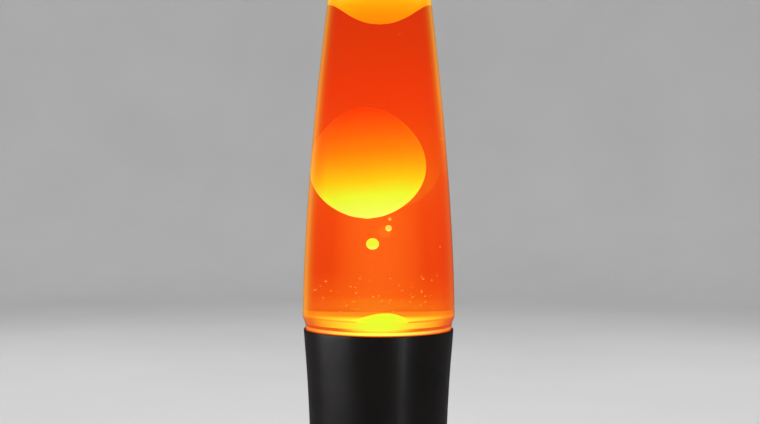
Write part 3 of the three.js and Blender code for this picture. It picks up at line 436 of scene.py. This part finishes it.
def glowing_liquid():
    """Dyed liquid lit from below. Looked into, its far wall is the glow; its near wall is clear."""
    s = Shader("glowing_liquid", Roughness=0.0, IOR=1.36, Specular_IOR_Level=0.2)
    z = s.height()
    drift = s.math("MULTIPLY", s.math("SUBTRACT", s.noise(14, 2), 0.5), 0.12)
    wall = s.ramp(
        s.math("ADD", s.remap(z, GLASS_LOW, CAP_EDGE), drift),
        (0.0, srgb(255, 124, 20)), (0.066, srgb(252, 102, 9)), (0.1, srgb(251, 84, 4)),
        (0.16, srgb(245, 68, 2)), (0.29, srgb(250, 71, 2)), (0.4, srgb(253, 82, 5)),
        (0.5, srgb(252, 72, 2)), (0.6, srgb(247, 58, 0)), (0.68, srgb(235, 55, 0)),
        (0.8, srgb(227, 52, 0)), (1.0, srgb(212, 44, 0)))
    # Light rising off the wax hangs in the liquid as a soft column above the bulb.
    middle = s.remap(s.facing(), 0.0, 0.11, 1.0, 0.0)
    column = s.remap(z, RIM + 88 * MM, RIM + 64 * MM)
    column = s.math("MULTIPLY", column, s.remap(z, RIM + 16 * MM, RIM + 36 * MM, 0.04, 0.12))
    veil = s.math("MULTIPLY", middle, column)
    inside = s.node("ShaderNodeNewGeometry").outputs["Backfacing"]
    s.set(Transmission_Weight=s.math("SUBTRACT", 1.0, inside))
    s.set(Base_Color=s.blend(inside, grey(1), grey(0)))
    s.set(Emission_Color=s.blend(inside, (1.0, 0.55, 0.04, 1), wall))
    s.set(Emission_Strength=s.blend(inside, veil, grey(1.0)))
    return s.material


def molten_wax(name, low, high, *stops):
    """Wax that glows from below: the colour follows height within the piece."""
    s = Shader(name, Roughness=0.32, IOR=1.4)
    drift = s.math("MULTIPLY", s.math("SUBTRACT", s.noise(38, 2), 0.5), 0.05)
    # The painted glow is slightly brighter towards the right.
    lean = s.math("MULTIPLY", s.split("X"), -1.6)
    share = s.math("ADD", s.remap(s.height(), low, high), s.math("ADD", drift, lean))
    colour = s.ramp(share, *stops)
    return lit_wax(s, colour)


def lit_wax(s, colour):
    """Finishes a wax that glows in a colour and takes little light from outside."""
    s.set(Base_Color=s.blend(0.93, colour, grey(0)), Emission_Color=colour, Emission_Strength=1.05)
    s.set(Specular_IOR_Level=0.15)
    s.set(Normal=s.bump(s.noise(55, 2), 0.0003, 0.12))
    return s.material


def pool_wax(shore):
    """Wax over the bulb with a painted glow: on its face the painted light turns from yellow to orange
    outwards, as on its thin wall.

    The painted glow of the brim, where the wax wets the glass above its shore, is brighter than the wall
    below it.
    """
    s = Shader("pool_wax", Roughness=0.3, IOR=1.4)
    drift = s.math("MULTIPLY", s.math("SUBTRACT", s.noise(60, 3), 0.5), 5 * MM)
    face = s.ramp(
        s.remap(s.math("ADD", s.radius(), drift), 0.0, 42 * MM), (0.25, srgb(222, 255, 42)),
        (0.4, srgb(250, 238, 42)), (0.55, srgb(254, 212, 40)), (0.7, srgb(255, 188, 36)),
        (0.85, srgb(254, 156, 26)), (0.97, srgb(250, 136, 18)))
    wall = s.ramp(
        s.facing(), (0.02, srgb(232, 254, 46)), (0.05, srgb(246, 206, 36)), (0.085, srgb(236, 140, 14)),
        (0.12, srgb(230, 96, 6)), (0.3, srgb(222, 76, 4)))
    brim = s.ramp(
        s.facing(), (0.01, srgb(224, 254, 44)), (0.084, srgb(253, 214, 42)), (0.17, srgb(253, 180, 30)),
        (0.235, srgb(252, 160, 24)), (0.3, srgb(244, 122, 10)), (0.38, srgb(232, 92, 4)))
    normal = s.node("ShaderNodeNewGeometry").outputs["Normal"]
    upward = s.node("ShaderNodeSeparateXYZ", {"Vector": normal}).outputs["Z"]
    top = s.blend(s.remap(upward, 0.1, 0.3), brim, face)
    return lit_wax(s, s.blend(s.remap(s.height(), shore - 0.5 * MM, shore - 0.2 * MM), wall, top))


def metal(name, dark, light, rough, along=(1, 1, 1)):
    """Bare metal with fine drawn lines and a cloudy tarnish."""
    s = Shader(name, Metallic=1.0)
    lines = s.noise(500, 3, 0.6, s.stretched(along))
    s.set(Base_Color=s.ramp(s.noise(110, 4), (0.3, dark), (0.75, light)))
    s.set(Roughness=s.remap(lines, 0.3, 0.7, rough - 0.08, rough + 0.1))
    s.set(Normal=s.bump(lines, 0.00003, 0.4))
    return s.material


def plastic(name, dark, light, rough, grain=2400.0, depth=0.00003):
    """Moulded plastic with a fine spark-eroded grain."""
    s = Shader(name)
    pits = s.noise(grain, 3, 0.6)
    s.set(Base_Color=s.ramp(s.noise(70, 4), (0.3, dark), (0.72, light)))
    s.set(Roughness=s.remap(s.noise(160, 4), 0.3, 0.7, rough - 0.06, rough + 0.08))
    s.set(Normal=s.bump(pits, depth, 0.5))
    return s.material


def thin_glass():
    """The bulb's clear glass, warm with the light of the filament."""
    s = Shader("bulb_glass", Base_Color=(1.0, 0.98, 0.94, 1), Roughness=0.02, IOR=1.45)
    s.set(Transmission_Weight=1.0, Emission_Color=srgb(255, 196, 110))
    s.set(Emission_Strength=s.remap(s.noise(40, 2), 0.3, 0.7, 0.25, 0.35))
    return s.material


def hot_filament():
    """White-hot wire, a little uneven along its length."""
    s = Shader("hot_filament", Metallic=1.0, Roughness=0.4)
    s.set(Base_Color=s.ramp(s.noise(900, 2), (0.3, srgb(255, 190, 90)), (0.7, srgb(255, 226, 150))))
    s.set(Emission_Color=srgb(255, 205, 110))
    s.set(Emission_Strength=s.remap(s.noise(700, 1), 0.3, 0.7, 3.0, 5.0))
    return s.material


def glazed(name, dark, light):
    """Glazed porcelain with faint specks and pooling."""
    s = Shader(name, Coat_Weight=0.6, Coat_Roughness=0.06)
    s.set(Base_Color=s.ramp(s.noise(90, 5), (0.3, dark), (0.66, light)))
    s.set(Roughness=s.remap(s.noise(35, 2), 0.3, 0.7, 0.14, 0.26))
    s.set(Normal=s.bump(s.noise(45, 2), 0.0002, 0.2))
    return s.material


LACQUER = lacquer("satin_black_lacquer")
STEEL = metal("zinc_steel", srgb(150, 152, 156), srgb(196, 198, 202), 0.34)
BRASS = metal("brass", srgb(168, 128, 62), srgb(214, 176, 104), 0.3)
ALUMINIUM = metal("bulb_metal", srgb(168, 170, 172), srgb(206, 208, 210), 0.3)
COVER = metal("cover_steel", srgb(38, 38, 40), srgb(54, 54, 57), 0.5, (0.05, 0.05, 1))
RUBBER = plastic("foot_rubber", srgb(20, 20, 20), srgb(31, 31, 31), 0.8, 1800, 0.00008)
SWITCH_PLASTIC = plastic("switch_plastic", srgb(19, 19, 21), srgb(29, 29, 32), 0.5)
ROCKER_PLASTIC = plastic("rocker_plastic", srgb(26, 26, 29), srgb(35, 35, 39), 0.3, 900, 0.00001)
PLUG_PLASTIC = plastic("plug_plastic", srgb(17, 17, 19), srgb(27, 27, 30), 0.48)
FLEX = plastic("flex_sheath", srgb(16, 16, 18), srgb(26, 26, 29), 0.36, 700, 0.00002)
WIRE_DARK = plastic("wire_dark", srgb(18, 18, 18), srgb(28, 28, 28), 0.5)
WIRE_PALE = plastic("wire_pale", srgb(196, 196, 188), srgb(218, 218, 212), 0.5)
LINER = plastic("liner", srgb(206, 200, 186), srgb(224, 219, 205), 0.6)
PORCELAIN = glazed("porcelain", srgb(212, 206, 194), srgb(236, 232, 222))
INSULATOR = glazed("bulb_insulator", srgb(14, 12, 12), srgb(30, 26, 24))
TINPLATE = metal("tinplate", srgb(176, 172, 162), srgb(214, 210, 200), 0.28)
SPRING = metal("spring_steel", srgb(120, 118, 116), srgb(168, 166, 162), 0.3)


# ---------------------------------------------------------------- bottle and liquid

def steadied(points):
    """Adds a point to each long stretch beside a short one, which keeps the bend between them local."""
    p = [np.array(q, float) for q in points]
    lengths = [np.linalg.norm(b - a) for a, b in zip(p, p[1:])]
    result = []
    for i, length in enumerate(lengths):
        along = (p[i + 1] - p[i]) / length
        result.append(tuple(p[i]))
        short = length / 5
        if i > 0 and lengths[i - 1] < short:
            result.append(tuple(p[i] + along * 2 * lengths[i - 1]))
        if i + 1 < len(lengths) and lengths[i + 1] < short:
            result.append(tuple(p[i + 1] - along * 2 * lengths[i + 1]))
    return result + [tuple(p[-1])]


def split_bottle():
    """The bottle's fine outline, and the part of it that is the inside, from the floor up."""
    points, closed, _ = meridian("glass_bottle")
    fine = spline(steadied(points), closed, 40, 1.6 * MM)
    top = max(range(len(fine)), key=lambda i: (fine[i][1], -fine[i][0]))
    return fine, fine[top:][::-1]


def inner_radius(inside, z):
    """The bottle's inner radius at a height above its heel."""
    wall = sorted((height, r) for r, height in inside if r > 8 * MM and height > GLASS_LOW + 5 * MM)
    return float(np.interp(z, *zip(*wall)))


def make_bottle():
    """The glass and its liquid. Returns the inside of the glass."""
    fine, inside = split_bottle()
    glass = spin("glass_bottle_fine", fine)
    place(glass, "bottle", bottle_glass(), "bottle_glass", "glass_bottle")
    # The liquid's skin lies just within the glass, so that no film of air is left between them.
    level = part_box("liquid_neck")[1].z
    skin = 0.06 * MM
    wetted = [(r + skin if r > SAME_POINT else 0.0, z - skin) for r, z in inside if z < level]
    edge = wetted[-1][0]
    dip = 0.3 * MM
    wetted += [(edge - 0.4 * MM, level), (edge * 0.6, level - dip), (0.0, level - dip)]
    liquid = spin("liquid", wetted)
    place(liquid, "bottle", glowing_liquid(), "liquid", "liquid_column", "liquid_neck")
    return inside


def make_pool(inside):
    """The wax on the floor of the bottle: a level face with a mound, a little right of the middle.

    Warm wax wets the glass, so the face turns up where it meets the wall.
    """
    outline, _, _ = meridian("wax_pool")
    shore = max(z for r, z in outline if r > 30 * MM)
    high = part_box("wax_pool")[1].z
    gap = 0.25 * MM  # between the wax and the glass
    under = [(max(r - gap, 0.0), z + gap) for r, z in inside if z < shore - 0.6 * MM]
    reach = inner_radius(inside, shore) - gap
    climb, climb_width = 3.1 * MM, 1.1 * MM
    mound_width = 9.9 * MM
    steps = 48
    face = []
    for i in range(steps + 1):
        away = reach * (i / steps) ** 2
        r = reach - away
        mound = (high - shore) * math.exp(-(r / mound_width) ** 2.6)
        face.append((r, shore + mound + climb * math.exp(-away / climb_width)))
    pool = spin("wax_pool_fine", under + face)
    swell, aside, mound_foot = 0.2 * MM, 3.5 * MM, 22 * MM
    for v in pool.data.vertices:
        if v.co.z > shore - 0.05 * MM:
            turn = math.atan2(v.co.y, v.co.x)
            r = math.hypot(v.co.x, v.co.y)
            v.co.z += swell * math.sin(2 * turn + 0.6) * (r / reach)
            v.co.x += aside * max(0.0, 1 - r / mound_foot)
    place(pool, "bottle", pool_wax(shore), "wax", "wax_pool")


def make_top_wax():
    """The mass of wax that has gathered at the top."""
    low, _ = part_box("wax_top_mass")
    mass = respun("wax_top_mass", corner=50, ease=0.0)
    glow = molten_wax(
        "top_wax", low.z, low.z + 18 * MM,
        (0.0, srgb(255, 138, 0)), (0.3, srgb(254, 152, 0)), (0.6, srgb(253, 174, 3)),
        (0.82, srgb(252, 206, 26)), (1.0, srgb(249, 238, 48)))
    place(mass, "bottle", glow, "wax", "wax_top_mass")


def make_blob():
    """The rising blob: the CAD egg, with the slow lopsided swell of warm wax."""
    low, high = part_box("wax_blob")
    blob = respun("wax_blob", corner=60, ease=0.0, sides=96)
    centre = (low + high) / 2
    half = (high.z - low.z) / 2
    for v in blob.data.vertices:
        away = v.co - centre
        lean = (away.z / half) ** 2
        turn = math.atan2(away.y, away.x)
        shrink = 1 - 0.02 * (1 + math.sin(turn + 0.8)) * lean
        v.co.x = centre.x + away.x * shrink
        v.co.y = centre.y + away.y * shrink
    glow = molten_wax(
        "blob_wax", low.z, high.z,
        (0.0, srgb(226, 254, 100)), (0.073, srgb(226, 252, 82)), (0.207, srgb(230, 252, 46)),
        (0.343, srgb(250, 209, 12)), (0.478, srgb(254, 166, 4)), (0.614, srgb(253, 131, 0)),
        (0.748, srgb(253, 104, 0)), (0.881, srgb(253, 79, 0)), (0.952, srgb(252, 64, 0)),
        (1.0, srgb(250, 56, 0)))
    place(blob, "blob", glow, "wax", "wax_blob")


def make_beads():
    """The three beads in the blob's wake."""
    # Painted glow: each bead runs from yellow at its foot to its own colour above.
    upper = {"large": srgb(222, 242, 50), "small": srgb(246, 212, 74), "tiny": srgb(255, 140, 52)}
    for size, colour in upper.items():
        node = "wax_bead_" + size
        low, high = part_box(node)
        bead = respun(node, corner=60, ease=0.0, step=0.3 * MM, sides=32)
        stops = (0.0, srgb(228, 255, 92)), (0.4, colour), (1.0, colour)
        glow = molten_wax(node + "_wax", low.z, high.z, *stops)
        place(bead, "bead_" + size, glow, "wax", node)


def make_specks(inside):
    """Tiny droplets of wax adrift in the liquid, clear of the way of the blob and beads."""
    rng = random.Random(7)
    wanted = 110
    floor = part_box("wax_pool")[1].z + 0.6 * MM
    low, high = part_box("wax_blob")
    middle = (low + high) / 2
    sweep_radius = (high.x - low.x) / 2 + 0.8 * MM
    sweep_bottom = low.z - 36 * MM  # a little under the lowest that the blob sinks
    glass_gap, clear_middle = 1.2 * MM, 10 * MM
    body = bmesh.new()
    placed = 0
    while placed < wanted:
        settled = rng.random() < 0.6
        z = floor + (rng.random() ** 1.3 * 20 * MM if settled else rng.random() * 160 * MM)
        size = (0.2 + 0.3 * rng.random() ** 2.5) * MM
        outer = inner_radius(inside, z) - glass_gap - size
        r = outer * rng.random() ** 0.5
        turn = rng.random() * 2 * math.pi
        spot = Vector((r * math.cos(turn), r * math.sin(turn), z))
        aside = math.hypot(spot.x - middle.x, spot.y - middle.y)
        if r < clear_middle or (z > sweep_bottom and aside < sweep_radius + size):
            continue
        made = bmesh.ops.create_icosphere(body, subdivisions=1, radius=size)
        bmesh.ops.translate(body, verts=made["verts"], vec=spot)
        placed += 1
    mesh = bpy.data.meshes.new("wax_specks")
    body.to_mesh(mesh)
    body.free()
    specks = shaded("wax_specks", mesh, ALL_SMOOTH)
    low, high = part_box("liquid_column")
    stops = (0.0, srgb(255, 158, 56)), (0.3, srgb(255, 126, 42)), (1.0, srgb(252, 92, 28))
    place(specks, "bottle", molten_wax("speck_wax", low.z, high.z, *stops), "wax")


def make_closure():
    """Crown closure, its liner and the spring ring in the bottom of the bottle."""
    place(respun("crown_liner", sides=SMALL_SIDES), "bottle", LINER, "liner", "crown_liner")
    crown = refined("crown_cap", bevel=0, sharp=70)
    soften(crown, 2)
    place(crown, "bottle", TINPLATE, "crown_tinplate", "crown_cap")
    ring = refined("spring_ring", bevel=0, sharp=ALL_SMOOTH)
    soften(ring, 1)
    place(ring, "bottle", SPRING, "spring_steel", "spring_ring")


def soften(piece, levels):
    """Rounds a piece by subdividing its surface."""
    fine = piece.modifiers.new("fine surface", "SUBSURF")
    fine.levels = levels
    fine.render_levels = levels


inside = make_bottle()
make_pool(inside)
make_top_wax()
make_blob()
make_beads()
make_specks(inside)
make_closure()


# ---------------------------------------------------------------- base and cap

def make_shells():
    """Cap, the two shells of the base, the cover under them and the foot pad."""
    place(respun("cap_shell", corner=30, ease=0.35 * MM), "cap", LACQUER, "base_finish", "cap_shell")
    for node in ("base_upper_shell", "base_lower_shell"):
        shell = respun(node, corner=30, ease=0.3 * MM)
        place(shell, "base", LACQUER, "base_finish", node)
    place(refined("bottom_cover"), "base", COVER, "cover_finish", "bottom_cover")
    place(respun("foot_pad"), "base", RUBBER, "foot_rubber", "foot_pad")


make_shells()


# ---------------------------------------------------------------- holder, bulb and fasteners

def make_insides():
    """Lamp holder, threaded rod, wires, and the small metal of holder and switch."""
    place(respun("lamp_holder_body", sides=SMALL_SIDES), "base", PORCELAIN, "porcelain", "lamp_holder_body")
    for node in ("holder_screw_shell", "holder_centre_contact"):
        place(respun(node, corner=60, sides=SMALL_SIDES), "base", BRASS, "contact_brass", node)
    place(respun("threaded_rod", sides=SMALL_SIDES), "base", STEEL, "fastener_steel", "threaded_rod")
    for node in (
            "rod_nut_bottom", "rod_nut_top", "rod_washer", "switch_screw_left", "switch_screw_right",
            "rocker_pin"):
        place(refined(node, 0.15 * MM), "base", STEEL, "fastener_steel", node)
    for node in (
            "terminal_screw_live", "terminal_screw_neutral", "switch_contact_fixed",
            "switch_contact_moving"):
        place(refined(node, 0.1 * MM), "base", BRASS, "contact_brass", node)
    place(refined("wire_live", 0, sharp=ALL_SMOOTH), "base", WIRE_DARK, "wire_dark", "wire_live")
    place(refined("wire_neutral", 0, sharp=ALL_SMOOTH), "base", WIRE_PALE, "wire_pale", "wire_neutral")


def make_bulb():
    """The bulb, from its glass to its filament."""
    glass = thin_glass()
    for node, corner in (("bulb_envelope", 50), ("bulb_stem", 40)):
        place(respun(node, corner=corner, sides=SMALL_SIDES), "bulb", glass, "bulb_glass", node)
    for node in ("bulb_screw_cap", "bulb_tip_contact"):
        place(respun(node, corner=60, sides=SMALL_SIDES), "bulb", ALUMINIUM, "bulb_metal", node)
    for node in ("bulb_lead_left", "bulb_lead_right"):
        place(refined(node, 0, sharp=ALL_SMOOTH), "bulb", ALUMINIUM, "bulb_metal", node)
    place(respun("bulb_insulator", sides=SMALL_SIDES), "bulb", INSULATOR, "bulb_black", "bulb_insulator")
    place(refined("bulb_filament", 0, sharp=ALL_SMOOTH), "bulb", hot_filament(), "filament", "bulb_filament")


make_insides()
make_bulb()


# ---------------------------------------------------------------- flex, switch and plug

FLEX_CORNERS = 8  # corners of the flex's cross-section
FLEX_ACROSS = 6 * MM  # a little more than the flex is wide
ONE_PLANE = 0.02  # radians: facets that bend less than this are one flat face


def end_cap(solid, start):
    """The corners of the swept solid's flat end nearest to start."""
    caps = []
    for face in solid.faces:
        flat, spread = {face}, [face]
        while spread:
            for edge in spread.pop().edges:
                for other in edge.link_faces:
                    if other not in flat and other.normal.angle(face.normal) < ONE_PLANE:
                        flat.add(other)
                        spread.append(other)
        corners = {v for f in flat for v in f.verts}
        middle = sum((v.co for v in corners), Vector()) / len(corners)
        compact = all((v.co - middle).length < FLEX_ACROSS / 2 for v in corners)
        if len(corners) == FLEX_CORNERS and compact:
            caps.append(((middle - start).length, corners))
    return min(caps, key=lambda cap: cap[0])[1]


def flex_rings(node, start):
    """A swept CAD node's sections in order from the end nearest to start: centre and half width."""
    solid = welded(node)
    ring = end_cap(solid, start)
    seen, rings = set(ring), [ring]
    while True:
        ahead = {e.other_vert(v) for v in rings[-1] for e in v.link_edges} - seen
        if not ahead:
            break
        rings.append(ahead)
        seen |= ahead
    sections = []
    for ring in rings:
        # Sorted, because a set's own order changes from one run to the next.
        spots = sorted((v.co.copy() for v in ring), key=tuple)
        centre = sum(spots, Vector()) / len(spots)
        far = max(spots, key=lambda co: (co - centre).length)
        sections.append((centre, far - centre))
    solid.free()
    return sections


def twin_outline(core):
    """A twin flex's cross-section: two round cores of a radius, open towards each other."""
    outline = []
    for lobe in (1, -1):
        for degrees in range(-140, 141, 28):
            turn = math.radians(degrees)
            outline.append((lobe * (core + core * math.cos(turn)), lobe * core * math.sin(turn)))
    return outline


def tube_faces(rings, corners):
    """The faces of a closed tube, ring after ring, and its two ends."""
    faces = []
    for first in range(0, (rings - 1) * corners, corners):
        for k in range(corners):
            a, b = first + k, first + (k + 1) % corners
            faces.append([a, b, b + corners, a + corners])
    near = list(range(corners))
    return faces + [near[::-1], [(rings - 1) * corners + k for k in near]]


def make_flex(node, start):
    """A twin flex: two round cores with a web between them, swept finely along the CAD run."""
    sections = flex_rings(node, start)
    across = [sections[0][1]]
    for _, side in sections[1:]:
        across.append(side if side @ across[-1] > 0 else -side)
    half = sum(side.length for side in across) / len(across)
    outline = twin_outline(half / 2)
    centres = curve_through([centre for centre, _ in sections])
    sides = curve_through([side.normalized() for side in across])
    verts = []
    for i, centre in enumerate(centres):
        ahead = Vector(centres[min(i + 1, len(centres) - 1)] - centres[max(i - 1, 0)]).normalized()
        side = Vector(sides[i])
        side = (side - ahead * (side @ ahead)).normalized()
        up = ahead.cross(side)
        verts += [Vector(centre) + side * x + up * y for x, y in outline]
    faces = tube_faces(len(centres), len(outline))
    low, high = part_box(node)
    flex = mesh_object(node + "_fine", np.clip(verts, low, high), faces, 50)
    place(flex, "base", FLEX, "flex", node)


def curve_through(points, pieces=6):
    """Points along a smooth curve through the given ones, in so many pieces between each two."""
    p = [np.array(q, float) for q in points]
    p = [2 * p[0] - p[1]] + p + [2 * p[-1] - p[-2]]
    fine = []
    for i in range(1, len(p) - 2):
        for k in range(pieces):
            fine.append(catmull_rom(p[i - 1:i + 3], k / pieces))
    fine.append(p[-2])
    return fine


def make_cord():
    """The flex in its two lengths, with its bush, switch and plug."""
    place(refined("cord_bush", 0.25 * MM), "base", RUBBER, "bush_rubber", "cord_bush")
    low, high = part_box("cord_lamp_to_switch")
    make_flex("cord_lamp_to_switch", Vector((0, low.y, high.z)))
    low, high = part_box("cord_switch_to_plug")
    plug = sum(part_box("plug_body"), Vector()) / 2
    make_flex("cord_switch_to_plug", Vector((low.x, plug.y, plug.z)))
    for node in ("switch_bottom_half", "switch_top_half"):
        place(refined(node, 0.2 * MM), "base", SWITCH_PLASTIC, "switch_plastic", node)
    rocker = refined("switch_rocker", 0.4 * MM)
    place(rocker, "rocker", ROCKER_PLASTIC, "rocker_plastic", "switch_rocker")
    place(refined("plug_body", 0.3 * MM), "base", PLUG_PLASTIC, "plug_plastic", "plug_body")
    for node in ("plug_blade_live", "plug_blade_neutral"):
        place(refined(node, 0.15 * MM), "base", BRASS, "contact_brass", node)


make_cord()


# ---------------------------------------------------------------- studio

def make_studio():
    """A round pale sweep: a floor that curves up into a wall all the way round."""
    floor, bend, wall = 1.9, 0.7, 3.0
    profile = [(r, 0.0) for r in (0.0, 0.4, 1.0, floor)]
    steps = 12
    for k in range(1, steps + 1):
        turn = math.pi / 2 / steps * k
        profile.append((floor + bend * math.sin(turn), bend - bend * math.cos(turn)))
    profile.append((floor + bend, wall))
    sweep = spin("studio_sweep", profile)
    s = Shader("studio_paper", Roughness=0.9)
    tone = s.ramp(s.noise(3, 3), (0.3, grey(0.70)), (0.7, grey(0.74)))
    # Glossy surfaces see the paper much darker than it is: a painted dark reflection.
    mirrored = s.node("ShaderNodeLightPath").outputs["Is Glossy Ray"]
    s.set(Base_Color=s.blend(s.math("MULTIPLY", mirrored, 0.85), tone, grey(0)))
    s.set(Normal=s.bump(s.noise(260, 3), 0.0002, 0.2))
    sweep.data.materials.append(s.material)


def softbox(name, at, aim, size, power, mirrored=False):
    """A panel of light of a size (width, height) and a power in watts. It is never seen through glass."""
    light = bpy.data.lights.new(name, "AREA")
    light.shape = "RECTANGLE"
    light.size, light.size_y = size
    light.energy = power
    lamp = bpy.data.objects.new(name, light)
    lamp.location = at
    lamp.rotation_mode = "QUATERNION"
    lamp.rotation_quaternion = (Vector(aim) - Vector(at)).to_track_quat("-Z", "Y")
    lamp.visible_glossy = mirrored
    lamp.visible_transmission = False
    bpy.context.scene.collection.objects.link(lamp)
    return lamp


def sheen_light(name, turn, reach, size, power, lacquered):
    """A low panel beside the lamp that lights only the lacquer, as a sheen down the base's wall."""
    at = (reach * math.sin(turn), -reach * math.cos(turn), size[1] / 2 + 5 * MM)
    lamp = softbox(name, at, (0, 0, at[2]), size, power, mirrored=True)
    lamp.visible_camera = False
    lamp.light_linking.receiver_collection = lacquered


def make_sheen():
    """A broad sheen down the left of the base and a narrow one just right of its middle."""
    lacquered = bpy.data.collections.new("lacquered")
    for piece in bpy.data.objects:
        if piece.type == "MESH" and LACQUER in piece.data.materials[:]:
            lacquered.objects.link(piece)
    sheen_light("broad_sheen", math.radians(-70), 0.55, (0.56, 0.3), 0.85, lacquered)
    sheen_light("narrow_sheen", math.radians(36), 0.42, (0.025, 0.26), 0.12, lacquered)


def make_light():
    """Soft light from above, both sides and behind. Only the panel above is mirrored in the lamp."""
    world = bpy.data.worlds.new("studio_air")
    world.use_nodes = True
    tree = world.node_tree
    background = tree.nodes["Background"]
    background.inputs["Color"].default_value = grey(0.9)
    strength = tree.nodes.new("ShaderNodeMapRange")
    strength.inputs["To Min"].default_value = 0.35
    strength.inputs["To Max"].default_value = 0.05
    tree.links.new(tree.nodes.new("ShaderNodeLightPath").outputs["Is Glossy Ray"], strength.inputs["Value"])
    tree.links.new(strength.outputs["Result"], background.inputs["Strength"])
    bpy.context.scene.world = world
    middle = (0, 0, 0.2)  # about half-way up the lamp
    softbox("left_softbox", (-1.3, -0.9, 1.1), middle, (0.7, 1.1), 11)
    softbox("right_softbox", (1.3, -0.5, 0.9), middle, (0.5, 1.1), 6)
    softbox("top_softbox", (0, 0.3, 2.1), middle, (1.4, 1.4), 20, mirrored=True)
    softbox("left_rim", (-0.8, 0.95, 0.75), middle, (0.3, 0.9), 0.9)
    softbox("right_rim", (0.85, 0.9, 0.75), middle, (0.3, 0.9), 0.9)


def make_camera():
    """Level with the lower half of the bottle, close enough that its ends pass out of the picture."""
    lens = bpy.data.cameras.new("camera")
    lens.sensor_width = 36
    lens.lens = 47.4
    lens.clip_start = 0.01
    camera = bpy.data.objects.new("camera", lens)
    camera.location = (0.65 * MM, -588 * MM, RIM + 68 * MM)
    camera.rotation_euler = (math.pi / 2, math.radians(-0.15), 0)
    bpy.context.scene.collection.objects.link(camera)
    bpy.context.scene.camera = camera


make_studio()
make_light()
make_sheen()
make_camera()
bpy.context.scene.view_settings.view_transform = "Standard"
